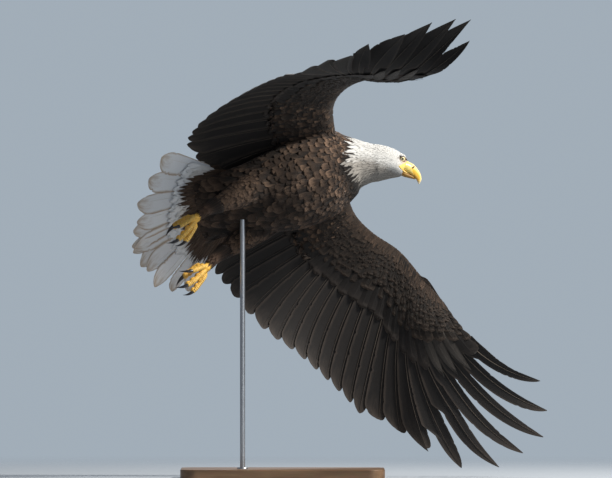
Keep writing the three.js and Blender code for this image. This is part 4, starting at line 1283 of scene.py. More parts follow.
for side_name, side in SIDES:
    for face_name, face in (("under", -1), ("upper", 1)):
        rows = []
        for tier, (root, tip, per, half, lift) in enumerate(COVERT_TIERS):
            count = int(FEATHERS * per)
            spots = (np.arange(count) + 0.5 * (tier % 2) + 0.25) / per - 0.5
            spots = spots + rng.normal(0, 0.15 / per, count)
            rows.append((np.clip(spots, -0.45, FEATHERS - 0.55),
                         root + rng.normal(0, 0.016, count) * (tier > 0),
                         tip + rng.normal(0, 0.022, count),
                         half * rng.uniform(0.95, 1.3, count),
                         lift * rng.uniform(0.5, 1.0, count),
                         np.full(count, tier)))
        feathers, starts, stops, halves, lifts, tiers = map(np.concatenate, zip(*rows))
        greater = tiers == len(COVERT_TIERS) - 1
        on_hand = feathers < PRIMARIES - 0.5
        pale = greater & (feathers > 0.5) & (feathers < 3.6) & (face < 0)
        stops = np.where(greater & on_hand, stops + 0.06, stops)
        stops = np.where(pale, 1.30 - 0.02 * feathers, stops)
        share = starts[:, None] + (stops - starts)[:, None] * COVERT_STEPS
        at = np.maximum(feathers[:, None], np.interp(share, (0.5, 1.0), (-0.45, 0.15)))
        out = share * coverts_end(at)
        up = wing_up(at, out, side) * face
        height = arm_half(at, share) + 0.0003 + lifts[:, None] * COVERT_STEPS ** 0.8
        on_feathers = np.clip((share - 1) / 0.1, 0, 1)
        height = blend(height, 0.0022 + lifts[:, None] * COVERT_STEPS, on_feathers)
        centre = wing_point(at, out, side) + up * height[..., None]
        across = wing_across(at, out, side)
        gap = np.linalg.norm(wing_point(np.minimum(at + 0.5, FEATHERS - 0.5), out, side)
                             - wing_point(np.maximum(at - 0.5, -0.5), out, side), axis=-1)
        outline = np.where(pale[:, None], np.interp(COVERT_STEPS, *LANCE) * 0.62,
                           np.interp(COVERT_STEPS, *ROUND))
        half = np.clip(gap, 0.010, 0.034) * halves[:, None] * outline
        base = np.where(greater[:, None], GREATER_SLATE, UNDER_BROWN)
        fringe = np.where(greater[:, None], SLATE_EDGE, UNDER_EDGE)
        if face > 0:
            base, fringe = base * 1.25 + BROWN * 0.2, fringe * 1.3
        front = np.clip(1 - tiers / 1.6, 0, 1)[:, None]
        base = blend(base, LEAD_BROWN, front)
        fringe = blend(fringe, LEAD_BROWN * 1.3, 0.7 * front)
        base = np.where(pale[:, None], PALE_COVERT, base)
        fringe = np.where(pale[:, None], PALE_COVERT * 0.45, fringe)
        lay_vanes(f"coverts_{face_name}_{side_name}", into_world(centre, across, up, half, side),
                  vary(base, 0.35), vary(fringe, 0.45), covert_vane, 0.12)


# ---------------------------------------------------------------------------------------------
# Tail: twelve broad white feathers in a fan, the middle pair on top, some tucked under the next,
# with short white coverts over and under their roots and the last dark feathers of rump and vent.
TAIL_ROOT = ((-0.318, 0, -0.066), (-0.311, 0.036, -0.052), (-0.292, 0.066, -0.008))
TAIL_TIP = ((-0.579, 0, -0.186), (-0.536, 0.160, -0.178), (-0.438, 0.262, -0.112))
# Each feather's place in the half fan, from the middle outward, and its length.
TAIL_FEATHERS = ((0.035, 1.0), (0.20, 0.995), (0.285, 0.955), (0.49, 1.0), (0.74, 1.0), (0.95, 1.0))
TAIL_OUTER_HALF = 0.088
TAIL_INNER_HALF = 0.165
TAIL_START = 0.10
TAIL_TAPER_FROM = 0.74
TAIL_QUILL = 0.0012
TAIL_BOW = 0.012
TAIL_WHITE = np.array((0.74, 0.745, 0.745))
TAIL_SHADE = np.array((0.56, 0.59, 0.64))
TAIL_BROWN = np.array((0.40, 0.31, 0.225))
TAIL_SHAFT = np.array((0.60, 0.57, 0.51))
VENT_BEIGE = np.array((0.43, 0.375, 0.31))


def fan_point(share, out):
    """Place on the fan, in the bird's frame: share 0 in the middle, 1 at the left edge."""
    share = np.atleast_1d(share)
    flip = np.stack((np.ones(len(share)), np.where(share < 0, -1.0, 1.0), np.ones(len(share))), 1)
    root, tip = (through(line, np.abs(share)) * flip for line in (TAIL_ROOT, TAIL_TIP))
    past = np.clip(np.abs(share) - 1, 0, 1)[:, None]
    edge = through(TAIL_TIP, 1) - through(TAIL_TIP, 0.9)
    tip = tip + past * 10 * edge * flip
    out = np.asarray(out, float)[..., None]
    return blend(root, tip, out)


def fan_up(share):
    across = fan_point(share + 0.04, 1.0)[0] - fan_point(share - 0.04, 1.0)[0]
    ahead = (fan_point(share, 1.0) - fan_point(share, 0.0))[0]
    return unit(np.cross(across, ahead))


tail_vane = vane_material("tail_vane", 0.62, 0.1, 90, 0.5, 0.10, 0.0, 0.74, 0.0003)
for side_name, side in SIDES:
    vanes = []
    for share, length in TAIL_FEATHERS:
        out = TAIL_START + (1 - TAIL_START) * length * np.linspace(0, 1, VANE_ROWS)
        up = np.tile(fan_up(share), (VANE_ROWS, 1))
        shaft = fan_point(np.full(VANE_ROWS, share), out)
        end = out[-1]
        late = np.clip((out - end + 1 - TAIL_TAPER_FROM) / (1.004 - TAIL_TAPER_FROM), 0, 1)
        tip = np.maximum(1 - late ** 2.3, 0.0004) ** 0.72
        edges = []
        for way, half in ((1, TAIL_OUTER_HALF), (-1, TAIL_INNER_HALF)):
            beyond = fan_point(np.full(VANE_ROWS, share + way * half), out)
            edges.append(shaft + (beyond - shaft) * tip[:, None]
                         + up * (way * 0.0014 * tip)[:, None])
        shade = 0.7 * np.linspace(1, 0, VANE_ROWS)[:, None] ** 1.4
        tone = blend(TAIL_WHITE, TAIL_SHADE, shade) * rng.uniform(0.94, 1.03)
        tone = np.repeat(tone, len(VANE_ACROSS), 0)
        vanes.append(stiff_vane(shaft, *edges, up, VANE_THIN, tone, TAIL_BROWN, 0.12, TAIL_BOW))
        across = unit(edges[1] - edges[0])
        vanes.append(shaft_rod(shaft[:-6], up[:-6], across[:-6], TAIL_QUILL, TAIL_SHAFT))
    tail = gather(f"tail_feathers_{side_name}", vanes, side, tail_vane,
                  2 * len(TAIL_FEATHERS))
    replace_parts(tail, *[f"tail_{number}_{side_name}" for number in (1, 2, 3)])

# Each coat of the tail's root: whether it is brown, its face, its rows as root and tip along the
# tail and share of beige, half width of a vane, and how thick the body is there.
TAIL_COVERTS = (
    ("tail_coverts_under", False, -1, ((0.18, 0.60, 0.0), (0.12, 0.53, 0.12), (0.05, 0.47, 0.4),
                                       (0.0, 0.41, 0.75)), 0.012, 0.004),
    ("tail_coverts_upper", False, 1, ((0.18, 0.60, 0.0), (0.12, 0.53, 0.0), (0.05, 0.47, 0.1),
                                      (0.0, 0.41, 0.3)), 0.012, 0.004),
    ("vent_feathers", True, -1, ((0.08, 0.42, 0), (0.02, 0.37, 0), (-0.06, 0.32, 0),
                                 (-0.14, 0.26, 0), (-0.22, 0.18, 0)), 0.0105, 0.017),
    ("rump_feathers", True, 1, ((0.06, 0.40, 0), (0.0, 0.35, 0), (-0.08, 0.29, 0),
                                (-0.16, 0.22, 0), (-0.24, 0.14, 0)), 0.0105, 0.017))
TAIL_COVERTS_ACROSS = 26
TAIL_LIFT = 0.0034
TIER_LIFT = 0.0011
# How much further the vent feathers lie out over the tail, from its right edge to its left.
VENT_REACH = ((-1, -0.8, -0.6, -0.3, 0, 0.25, 0.5, 0.75, 1.0, 1.2),
              (-0.20, 0.06, 0.12, 0.03, 0.04, 0.06, 0.14, 0.25, 0.22, 0.18))
for name, brown, face, tiers, half, deep in TAIL_COVERTS:
    material, slot, outline = ((brown_vane, "body_feathers", LANCE) if brown
                               else (white_vane, "white_feathers", ROUND))
    right_wide, left_wide = (1.0, 1.18) if brown else (0.95, 0.95)
    strands, tones, rims = [], [], []
    for tier, (root, tip, tint) in enumerate(tiers):
        for index in range(2 * TAIL_COVERTS_ACROSS):
            share = (index + 0.5 + 0.5 * (tier % 2)) / TAIL_COVERTS_ACROSS - 1
            share = share * (left_wide if share > 0 else right_wide) + rng.normal(0, 0.012)
            further = np.interp(share, *VENT_REACH) if name == "vent_feathers" else 0.0
            out = root + (tip + further + rng.normal(0, 0.022) - root) * COVERT_STEPS
            line = fan_point(np.full(COVERT_ROWS, share), out)
            up = fan_up(share) * face
            height = deep * np.clip(1 - (out + 0.1) / 0.6, 0, 1)
            raised = (TAIL_LIFT + TIER_LIFT * tier + 0.03 * further + 0.0010 * COVERT_STEPS
                      + rng.uniform(0, 0.0008))
            line = line + up * (height + raised)[:, None]
            across = unit(np.cross(unit(line[-1] - line[0]), up))
            strands.append((line, np.tile(across, (COVERT_ROWS, 1)),
                            np.tile(up, (COVERT_ROWS, 1)),
                            half * rng.uniform(0.8, 1.15) * np.interp(COVERT_STEPS, *outline)))
            if brown:
                tones.append(BROWN * rng.uniform(0.75, 1.2))
                rims.append(BROWN_EDGE * rng.uniform(0.25, 0.6))
            else:
                tone = blend(TAIL_WHITE, VENT_BEIGE, min(1, tint * rng.uniform(0.4, 1.4)))
                tones.append(tone * rng.uniform(0.93, 1.03))
                rims.append(tone * rng.uniform(0.86, 0.98))
    strands = into_world(*(np.array(values) for values in zip(*strands)))
    lay_vanes(name, strands, np.array(tones), np.array(rims), material, 0.05)


# ---------------------------------------------------------------------------------------------
# Bill: two sheaths of smooth yellow horn over the jaws, with the soft cere and slit nostrils at
# its root, a hooked pale tip, and the fleshy yellow rim of the gape run back under the eye.
BILL_UPPER = (
    ((0.2118, 0.0112), (0.1990, -0.0150), 0.0198), ((0.2158, 0.0092), (0.2035, -0.0176), 0.0190),
    ((0.2210, 0.0066), (0.2090, -0.0204), 0.0180), ((0.2280, 0.0029), (0.2160, -0.0242), 0.0160),
    ((0.2350, -0.0036), (0.2230, -0.0284), 0.0135), ((0.2412, -0.0118), (0.2300, -0.0332), 0.0110),
    ((0.2470, -0.0212), (0.2355, -0.0376), 0.0086), ((0.2506, -0.0312), (0.2390, -0.0428), 0.0064),
    ((0.2510, -0.0422), (0.2414, -0.0478), 0.0040), ((0.2464, -0.0518), (0.2436, -0.0528), 0.0012))
BILL_LOWER = (
    ((0.2005, -0.0150), (0.1948, -0.0288), 0.0132), ((0.2085, -0.0174), (0.2030, -0.0324), 0.0140),
    ((0.2185, -0.0225), (0.2130, -0.0350), 0.0120), ((0.2270, -0.0275), (0.2230, -0.0374), 0.0096),
    ((0.2334, -0.0330), (0.2322, -0.0392), 0.0056), ((0.2356, -0.0354), (0.2352, -0.0386), 0.0016))
HORN_YELLOW = np.array((0.83, 0.50, 0.055))
HORN_ORANGE = np.array((0.70, 0.27, 0.022))
HORN_PALE_HIGHLIGHT = np.array((0.90, 0.82, 0.52))
# Lower sheath: yellow horn painted darker as shade under the upper bill.
LOWER_HORN_SHADED = np.array((0.33, 0.175, 0.032))
HORN_TIP = np.array((0.80, 0.70, 0.46))
NOSTRIL = np.array((0.2288, -0.0066))
NOSTRIL_HALF = (0.0038, 0.0018)
NOSTRIL_DEEP = 0.0004
# Painted shade inside the nostril's opening.
NOSTRIL_SHADOW = np.array((0.03, 0.018, 0.010))
CERE_END = 0.224
GAPE_LINE = ((0.1900, -0.0040), (0.1975, -0.0115), (0.2050, -0.0185), (0.2150, -0.0236))
GAPE_THICK = 0.0019
GAPE_SLOPE = np.array((0.75, 0, -0.65))
GAPE_FRONT_OUT = 0.0172
GAPE_BACK_OUT = 0.019
GAPE_ROWS = 22
GAPE_SIDES = 14


def horn_sheath(rings, count, lengths, lower_square):
    """Fine loft through top, bottom and half width of each ring, in the head's own frame."""
    result = []
    for x_top, z_top, x_low, z_low, wide in through(
            [(*top, *bottom, wide) for top, bottom, wide in rings], np.linspace(0, 1, lengths)):
        ring = []
        for i in range(count):
            angle = 2 * math.pi * i / count
            c, s = math.cos(angle), math.sin(angle)
            power = 1.0 if s > 0 else 2 / lower_square
            y = math.copysign(abs(c) ** power, c) * wide
            h = 0.5 + 0.5 * math.copysign(abs(s) ** power, s)
            ring.append((x_low + (x_top - x_low) * h, y, z_low + (z_top - z_low) * h))
        result.append(ring)
    return np.array(result)


def grained(name, scale, detail, low, high, dark, light):
    """A material whose painted marking is broken up by a fine grain, and its nodes."""
    material, tree, shader = new_material(name)
    marking = add_node(tree, "ShaderNodeAttribute", attribute_name="marking")
    place = add_node(tree, "ShaderNodeTexCoord")
    grain = add_node(tree, "ShaderNodeTexNoise", in_2=scale, in_3=detail)
    tone = add_node(tree, "ShaderNodeMapRange", in_1=low, in_2=high, in_3=dark, in_4=light)
    colour = add_node(tree, "ShaderNodeVectorMath", operation="SCALE")
    wire(tree,
         (place.outputs["Object"], grain.inputs["Vector"]),
         (grain.outputs["Fac"], tone.inputs[0]),
         (marking.outputs["Color"], colour.inputs[0]),
         (tone.outputs[0], colour.inputs["Scale"]),
         (colour.outputs[0], shader.inputs["Base Color"]))
    return material, tree, shader, marking, grain


horn, tree, shader, marking, grain = grained("bill_horn", 420, 5, 0.3, 0.7, 0.88, 1.08)
rough = add_node(tree, "ShaderNodeMapRange", in_3=0.24, in_4=0.42)
dull_slit = add_node(tree, "ShaderNodeMapRange", in_1=0.08, in_2=0.30, in_3=1.0, in_4=0.0)
rougher = add_node(tree, "ShaderNodeMath", operation="MAXIMUM")
clear_coat = add_node(tree, "ShaderNodeMapRange", in_1=0.08, in_2=0.30, in_3=0.0, in_4=0.15)
bump = add_node(tree, "ShaderNodeBump")
bump.inputs["Distance"].default_value = 0.00015
shader.inputs["Subsurface Weight"].default_value = 0.12
shader.inputs["Subsurface Radius"].default_value = (0.004, 0.002, 0.0008)
wire(tree,
     (grain.outputs["Fac"], rough.inputs[0]),
     (marking.outputs["Fac"], dull_slit.inputs[0]),
     (marking.outputs["Fac"], clear_coat.inputs[0]),
     (rough.outputs[0], rougher.inputs[0]),
     (dull_slit.outputs[0], rougher.inputs[1]),
     (rougher.outputs[0], shader.inputs["Roughness"]),
     (clear_coat.outputs[0], shader.inputs["Coat Weight"]),
     (grain.outputs["Fac"], bump.inputs["Height"]),
     (bump.outputs[0], shader.inputs["Normal"]))

for name, node, rings, count, lengths, square in (
        ("bill_upper_horn", "bill_upper", BILL_UPPER, 64, 96, 2.6),
        ("bill_lower_horn", "bill_lower", BILL_LOWER, 36, 30, 2.2)):
    sheath = horn_sheath(rings, count, lengths, square)
    local = sheath.reshape(-1, 3)
    if node == "bill_upper":
        cere = 1 - np.clip((local[:, 0] - CERE_END + 0.25 * (local[:, 2] + 0.01)) / 0.0014, 0, 1)
        slit_way = (local[:, [0, 2]] - NOSTRIL) @ np.array(((0.80, -0.6), (0.6, 0.80)))
        slit = np.linalg.norm(slit_way / NOSTRIL_HALF, axis=1)
        local[:, 1] *= 1 + 0.035 * cere
        local[:, 1] -= np.sign(local[:, 1].round(9)) * NOSTRIL_DEEP * np.exp(-slit ** 2)
        along = np.repeat(np.linspace(0, 1, lengths), count)[:, None]
        height = np.tile(np.sin(2 * np.pi * np.arange(count) / count), lengths)[:, None]
        low_edge = np.clip(-height, 0, 1) ** 1.5 * np.clip(along * 3 - 0.3, 0, 1)
        # The ridge of the culmen is paler: pale horn, and a painted highlight along it.
        culmen_highlight = np.clip(height, 0, 1) ** 2.4 * np.clip(along * 4 - 0.4, 0, 1)
        tone = blend(HORN_YELLOW, CERE_YELLOW, cere[:, None])
        tone = blend(tone, HORN_ORANGE, 0.9 * low_edge)
        tone = blend(tone, HORN_PALE_HIGHLIGHT, 0.8 * culmen_highlight)
        tone = blend(tone, HORN_TIP, np.clip((along - 0.80) / 0.16, 0, 1))
        tone = blend(tone, NOSTRIL_SHADOW, np.clip((1.35 - slit) / 0.9 + 0.5, 0, 1)[:, None])
    else:
        tone = np.tile(LOWER_HORN_SHADED, (len(local), 1))
    mesh = mesh_from(name, *ring_bridge(sheath + (0, HEAD_SIDE, 0) + breast))
    paint(mesh, "marking", tone)
    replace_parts(new_piece(name, mesh, horn), node)

for side_name, side in SIDES:
    rings = []
    shares = np.linspace(0, 1, GAPE_ROWS)
    for share, (x, z) in zip(shares, through(GAPE_LINE, shares)):
        wanted = Vector((x, HEAD_SIDE + side * 0.05, z)) + BREAST
        hit = skin_tree.ray_cast(wanted, Vector((0, -side, 0)))[0]
        reach = abs(hit.y - BREAST.y - HEAD_SIDE) if hit else GAPE_BACK_OUT
        out = reach * (1 - share ** 3) + GAPE_FRONT_OUT * share ** 3
        radius = GAPE_THICK * math.sin(math.pi * min(1, 0.16 + 0.9 * share)) ** 0.6 + 0.0003
        middle = breast + (x, HEAD_SIDE + side * (out - 0.0004), z)
        over = np.cross(GAPE_SLOPE, (0, side, 0))
        rings.append([middle + radius * (math.cos(a) * over * 1.1
                                         + 0.8 * math.sin(a) * np.array((0, side, 0)))
                      for a in np.linspace(0, 2 * math.pi, GAPE_SIDES, endpoint=False)])
    mesh = mesh_from(f"gape_{side_name}", *ring_bridge(rings))
    paint(mesh, "marking", np.tile(CERE_YELLOW * (1, 0.88, 0.7), (len(mesh.vertices), 1)))
    new_piece(f"gape_{side_name}", mesh, horn)


# ---------------------------------------------------------------------------------------------
# Eyes: glass-smooth balls with a pale yellow iris and a round black pupil, set deep under the
# brow, each held by a rim of bare lids whose upper edge cuts straight across the iris.
GAZE = np.array((0.26, 0.95, -0.06))
PUPIL = math.radians(20)
IRIS = math.radians(52)
IRIS_PALE = np.array((0.82, 0.71, 0.38))
IRIS_EDGE = np.array((0.52, 0.36, 0.10))
# Lids are painted dark at the top and front as shade under the brow, pale below.
LID_SHADOW_DARK = np.array((0.060, 0.036, 0.022))
LID_PALE = np.array((0.40, 0.27, 0.17))
BROW_LEAN = math.radians(62)
EYE_OUT = 0.0016
EYE_RINGS = 40
EYE_AROUND = 48
LID_AROUND = 56
LID_SIDES = 12
# How far from the pupil's middle the lids begin, how much less under the brow, and their width.
LID_OPEN, LID_LOW = 52, 25
LID_WIDE, LID_WIDER = 9, 9
PUPIL_BLACK = np.array((0.004, 0.004, 0.005))
EYE_BACK = np.array((0.03, 0.022, 0.016))

wet, _, shader, _, _ = grained("wet_eye", 1500, 3, 0.3, 0.7, 0.86, 1.1)
shader.inputs["Roughness"].default_value = 0.08
shader.inputs["Coat Weight"].default_value = 1.0
shader.inputs["Coat Roughness"].default_value = 0.02

for side_name, side in SIDES:
    gaze = unit(GAZE * (1, side, 1))
    raised = unit(np.array((0, 0, 1)) - gaze * gaze[2])
    level = np.cross(raised, gaze) * side
    middle = breast + (EYE.x, HEAD_SIDE + side * (EYE.y + EYE_OUT), EYE.z)

    def on_eye(angle, around, radius):
        return middle + radius * (math.cos(angle) * gaze + math.sin(angle)
                                  * (math.cos(around) * level + math.sin(around) * raised))

    rings, tones = [], []
    for angle in np.linspace(0.03, math.pi - 0.03, EYE_RINGS):
        rings.append([on_eye(angle, 2 * math.pi * i / EYE_AROUND, EYE_RADIUS)
                      for i in range(EYE_AROUND)])
        iris = blend(IRIS_PALE, IRIS_EDGE, np.clip((angle - IRIS + 0.16) / 0.16, 0, 1))
        tone = blend(PUPIL_BLACK, iris, np.clip((angle - PUPIL) / 0.05, 0, 1))
        tone = blend(tone, EYE_BACK, np.clip((angle - IRIS) / 0.05, 0, 1))
        tones += [tone] * EYE_AROUND
    mesh = mesh_from(f"eyeball_{side_name}", *ring_bridge(rings))
    paint(mesh, "marking", np.array(tones))
    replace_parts(new_piece(f"eyeball_{side_name}", mesh, wet), f"eye_{side_name}")

    points, tones, faces = [], [], []
    for step in range(LID_AROUND):
        around = 2 * math.pi * step / LID_AROUND
        # Lid tone: painted shade under the brow on the upper lid, pale skin below.
        upper = math.cos(around - BROW_LEAN)
        tones += [blend(LID_PALE, LID_SHADOW_DARK, min(1, max(0, 0.62 + 0.8 * upper)))] * LID_SIDES
        high = max(0.0, upper) ** 1.4
        here, after = step * LID_SIDES, (step + 1) % LID_AROUND * LID_SIDES
        for i, corner in enumerate(np.linspace(0, 2 * math.pi, LID_SIDES, endpoint=False)):
            angle = (math.radians(LID_OPEN - LID_LOW * high)
                     + math.radians(LID_WIDE + LID_WIDER * high) * (1 - math.cos(corner)))
            lift = 1.015 + 0.075 * (1 - math.cos(corner)) / 2 + 0.05 * math.sin(corner)
            points.append(on_eye(angle, around, EYE_RADIUS * max(lift, 0.98)))
            j = (i + 1) % LID_SIDES
            faces.append((here + i, here + j, after + j, after + i))
    mesh = mesh_from(f"lids_{side_name}", points, faces)
    paint(mesh, "marking", np.array(tones))
    paint(mesh, "foot", np.full((len(mesh.vertices), 3), 0.35))
    new_piece(f"lids_{side_name}", mesh, hide)


# ---------------------------------------------------------------------------------------------
# Feet: hard scutes in bands over the bare yellow toes and shanks, and long black talons of
# polished horn, each growing from the toe's end and curling to the sole.
ANKLE = np.array((-0.359, 0.0896, -0.1854))
FOOT = np.array((-0.385, 0.093, -0.209))
SOLE_TURN = math.radians(56)
# Each toe: place across the foot, splay, lift to the sole, length, radius, length of its talon,
# and how far toe and talon turn from end to end.
TOES = (("inner", -0.015, -0.45, 0.0, 0.055, 0.0072, 0.038, 0.35, 1.10),
        ("middle", 0.0, -0.10, 0.0, 0.080, 0.0074, 0.035, 0.35, 1.10),
        ("outer", 0.015, 0.24, 0.0, 0.066, 0.0068, 0.030, 0.35, 1.10),
        ("hind", -0.003, 0.10, 0.020, 0.058, 0.0080, 0.043, 0.28, 0.55))
HIND_RISE = 0.68
LEG_RADIUS = 0.0100
TOE_POINTS = 60
TOE_END = TOE_POINTS - 1
TALON_SIDES = 20
TOE_RADII = (0.95, 1.0, 0.86, 0.96, 0.74)
TALON_RADII = (0.66, 0.62, 0.50, 0.34, 0.16, 0.04)
SCUTE_LONG = 0.0052
SCUTE_SIDES = 11
TOE_SCUTE_ARC, LEG_SCUTE_ARC = 2.9, 2.6
SCUTES_FROM, SCUTES_SPAN = 4, 55
LEG_SCUTE_SPAN = 9
PAD_SIDES = 18
SCUTE_YELLOW = np.array((0.97, 0.60, 0.13))
# Pads under each toe: place along it and radius over the toe's own.
TOE_PADS = ((0.16, 1.10), (0.42, 1.16), (0.68, 1.14), (0.92, 1.06))
TALON_BLACK = np.array((0.012, 0.011, 0.013))
TALON_ROOT = np.array((0.085, 0.070, 0.060))

horn_black, tree, shader, _, streaks = grained("talon_horn", 300, 4, 0.3, 0.75, 0.7, 1.9)
rough = add_node(tree, "ShaderNodeMapRange", in_3=0.2, in_4=0.42)
shader.inputs["Coat Weight"].default_value = 0.3
wire(tree,
     (streaks.outputs["Fac"], rough.inputs[0]),
     (rough.outputs[0], shader.inputs["Roughness"]))


def bent_line(start, heading, toward, length, bend, count):
    t = np.linspace(0, 1, count)[:, None]
    return (start + heading * np.sin(bend * t) / bend * length
            + toward * (1 - np.cos(bend * t)) / bend * length)


def hoops(line, radii, inward, count, spread=2 * math.pi, turn_by=0.0):
    """Round sections along a line; inward marks the side that angle zero looks away from."""
    ahead = unit(np.gradient(line, axis=0))
    result = []
    for point, direction, radius in zip(line, ahead, radii):
        back = -unit(inward - direction * (inward @ direction))
        over = np.cross(direction, back)
        result.append([point + radius * (math.cos(a) * back + math.sin(a) * over)
                       for a in np.arange(count) / count * spread + turn_by])
    return result


foot_along = np.array((-math.cos(SOLE_TURN), 0, -math.sin(SOLE_TURN)))
foot_sole = np.array((-math.sin(SOLE_TURN), 0, math.cos(SOLE_TURN)))


def toe_lines(toe, side):
    """Line of a toe, line of its talon, and the way each of them bends."""
    name, aside, splay, lift, length, _, talon, bend, curl = toe
    hind = name == "hind"
    spread = np.array((0.0, side, 0.0))
    heading = unit(foot_along + spread * splay + (foot_sole * HIND_RISE if hind else 0))
    toward = foot_along if hind else foot_sole
    toward = unit(toward - heading * (toward @ heading))
    start = (FOOT * (1, side, 1) + spread * aside + foot_sole * lift
             + foot_along * (0.002 if hind else 0.0127))
    line = bent_line(start, heading, toward, length, bend, TOE_POINTS)
    turned = heading * math.cos(bend) + toward * math.sin(bend)
    inward = toward * math.cos(bend) - heading * math.sin(bend)
    claw = bent_line(line[-1] - turned * 0.002, turned, inward, talon + 0.002, curl, 30)
    return line, claw, toward, inward


def scute(line, radius, toward, start, stop, arc, thick):
    """One curved plate across the top of a toe, closed, with a raised hinder edge."""
    spots = line[np.linspace(start, stop, 4).astype(int)]
    raised = radius + np.array((0.1, 0.9, 1.0, 0.2)) * thick
    first_turn = -arc * (SCUTE_SIDES - 1) / (2 * SCUTE_SIDES)
    outer, inner = (hoops(spots, radii, toward, SCUTE_SIDES, arc, first_turn)
                    for radii in (raised, [radius * 0.86] * 4))
    return ring_bridge([list(a) + list(reversed(b)) for a, b in zip(outer, inner)])


for side_name, side in SIDES:
    plates, plate_tones, claws, claw_tones = [], [], [], []
    for toe in TOES:
        line, claw, toward, inward = toe_lines(toe, side)
        ways = unit(np.gradient(line, axis=0))
        length, radius = toe[4:6]
        count = int(length / SCUTE_LONG)
        for number in range(count):
            start = SCUTES_FROM + SCUTES_SPAN * number / count
            at_radius = radius * np.interp(start / TOE_END, np.linspace(0, 1, 5), TOE_RADII)
            stop = min(TOE_END, start + SCUTES_SPAN / count * 1.02)
            plates.append(scute(line, at_radius * 1.01, toward, start, stop, TOE_SCUTE_ARC, 0.0007))
            plate_tones.append(SCUTE_YELLOW * rng.uniform(0.85, 1.06))
        for place, wide in TOE_PADS:
            at = int(place * TOE_END)
            across_pad = np.linspace(-0.995, 0.995, 12)
            spots = (line[at] + toward * radius * 0.42
                     + ways[at] * radius * wide * 1.15 * across_pad[:, None])
            girths = radius * wide * np.sqrt(1 - across_pad ** 2)
            plates.append(ring_bridge(hoops(spots, girths, toward, PAD_SIDES)))
            plate_tones.append(FOOT_YELLOW * rng.uniform(0.9, 1.0))
        share = np.linspace(0, 1, len(claw))
        radii = np.interp(share, np.linspace(0, 1, 6), TALON_RADII) * radius * 1.05
        claws.append(ring_bridge(hoops(claw, radii, inward, TALON_SIDES)))
        root = np.clip(1 - share / 0.14, 0, 1)[:, None]
        claw_tones.append(np.repeat(blend(TALON_BLACK, TALON_ROOT, root), TALON_SIDES, 0))
    leg = np.linspace(ANKLE * (1, side, 1), FOOT * (1, side, 1) + foot_along * 0.006, TOE_POINTS)
    for number in range(3, 6):
        start = 2 + LEG_SCUTE_SPAN * number
        plates.append(scute(leg, LEG_RADIUS, foot_sole, start, start + LEG_SCUTE_SPAN,
                            LEG_SCUTE_ARC, 0.0008))
        plate_tones.append(SCUTE_YELLOW * rng.uniform(0.8, 1.0))
    for title, parts, tones, material, slot, replaced in (
            (f"scutes_{side_name}", plates, plate_tones, hide, "foot_skin", ()),
            (f"talons_{side_name}", claws, claw_tones, horn_black, "talon",
             [f"talon_{toe[0]}_{side_name}" for toe in TOES])):
        points, faces, colours, first = [], [], [], 0
        for (spots, quads), tone in zip(parts, tones):
            points.append(from_bird(spots))
            faces += [tuple(first + i for i in face) for face in quads]
            colours.append(np.broadcast_to(tone, (len(spots), 3)))
            first += len(spots)
        mesh = mesh_from(title, np.concatenate(points), faces)
        paint(mesh, "marking", np.concatenate(colours))
        paint(mesh, "foot", np.ones((len(mesh.vertices), 3)))
        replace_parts(new_piece(title, mesh, material), *replaced)


# Ragged dark feathers hang from each thigh over the ankle, down to the foot.
TROUSER_TIERS = ((-0.040, 0.014), (-0.028, 0.024), (-0.016, 0.033))
TROUSER_GIRTH = ((-0.040, 0.0, 0.033), (0.0250, 0.0140, 0.0130))
TROUSERS_AROUND = 22
TROUSER_HALF = 0.0058

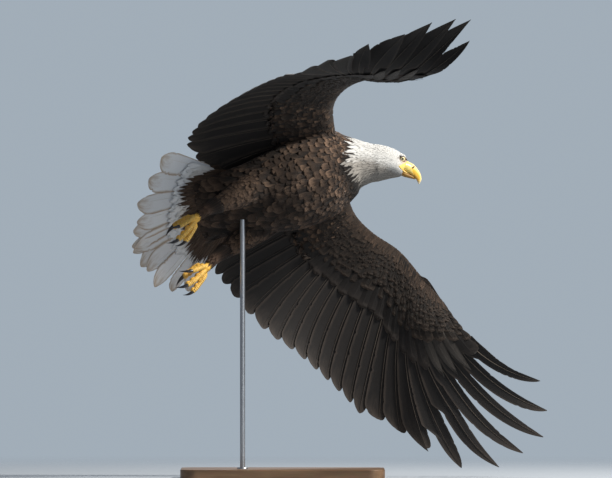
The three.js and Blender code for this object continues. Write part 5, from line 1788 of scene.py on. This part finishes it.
for side_name, side in SIDES:
    ankle = ANKLE * (1, side, 1)
    leg_way = unit((FOOT - ANKLE) * (1, side, 1))
    thigh_way = unit(THIGH_AXIS * (1, side, 1))
    sideways = unit(np.cross(leg_way, (0, 0, 1)))
    upward = np.cross(sideways, leg_way)
    lines, radials = [], []
    for tier, (start, stop) in enumerate(TROUSER_TIERS):
        for index in range(TROUSERS_AROUND):
            angle = 2 * math.pi * (index + 0.5 * (tier % 2) + rng.normal(0, 0.15)) / TROUSERS_AROUND
            radial = sideways * math.cos(angle) + upward * math.sin(angle)
            place = start + (stop + rng.normal(0, 0.005) - start) * COVERT_STEPS
            girth = np.interp(place, *TROUSER_GIRTH) - 0.0012 * tier + 0.003 * COVERT_STEPS ** 2
            middle = ankle + np.where(place[:, None] < 0, thigh_way, leg_way) * place[:, None]
            lines.append(middle + radial * girth[:, None])
            radials.append(np.tile(radial, (COVERT_ROWS, 1)))
    centre, up = np.array(lines), np.array(radials)
    ahead = unit(np.gradient(centre, axis=1))
    across = unit(np.cross(ahead, up))
    half = (TROUSER_HALF * rng.uniform(0.8, 1.2, (len(centre), 1))
            * np.interp(COVERT_STEPS, *LANCE))
    tone = np.tile(BROWN * 0.9, (len(centre), 1))
    lay_vanes(f"trousers_{side_name}", into_world(centre, across, np.cross(across, ahead), half),
              vary(tone, 0.3), vary(tone * 3.0, 0.3), brown_vane)


# ---------------------------------------------------------------------------------------------
# Alula: three short stiff feathers on the thumb, folded along the front edge of the hand.
ALULA_FROM = 5.6
ALULA_TO = -0.9
ALULA_HALF = 0.0065
ALULA_AHEAD = 0.012
ALULA_THIN = 0.001
ALULA_QUILL = 0.0011
ALULA_ROWS = 36
# Each feather: length and width as shares of the longest, and how far it lies behind the one above.
ALULA_PARTS = ((1.0, 1.0, 0.0), (0.74, 1.0, 0.0016), (0.48, 0.95, 0.0032))


def alula_spine(row):
    feather = ALULA_FROM + (ALULA_TO - ALULA_FROM) * row
    place = (max(-0.5, feather) + 0.5) / FEATHERS
    edge, back = through(WING_LEAD, place)[0], through(WING_MIDDLE, place)[0]
    onward = (through(WING_LEAD, 0) - through(WING_LEAD, 0.04))[0] * -min(0, feather + 0.5)
    ahead = unit(edge - back)
    free = min(1.0, max(0.0, (row - 0.04) / 0.42))
    out = ALULA_AHEAD * (free * free * (3 - 2 * free)) - 0.003 * (1 - free)
    return edge + onward + ahead * out, ahead


for side_name, side in SIDES:
    blades = []
    share = np.linspace(0, 1, ALULA_ROWS)
    for length, wide, drop in ALULA_PARTS:
        spine, ahead = map(np.array, zip(*[alula_spine(length * s) for s in share]))
        up = unit(np.cross(np.gradient(spine, axis=0), ahead)) * -1
        half = ALULA_HALF * wide * np.sqrt(np.clip(1 - (2 * share - 0.9) ** 4 / 1.47, 0.02, 1))
        half = (half * np.clip(0.3 + 2.4 * share, 0, 1))[:, None]
        spine = spine - ahead * drop - up * drop * 0.6
        blades.append(stiff_vane(spine, spine + ahead * half * 0.8, spine - ahead * half * 1.25, up,
                                 ALULA_THIN, SLATE * 1.3, LEAD_BROWN, 0.1))
        blades.append(shaft_rod(spine[:-1], up[:-1], ahead[:-1], ALULA_QUILL, SHAFT_HORN))
    thumb = gather(f"alula_feathers_{side_name}", blades, side, flight_vane,
                   len(blades))
    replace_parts(thumb, f"alula_{side_name}")
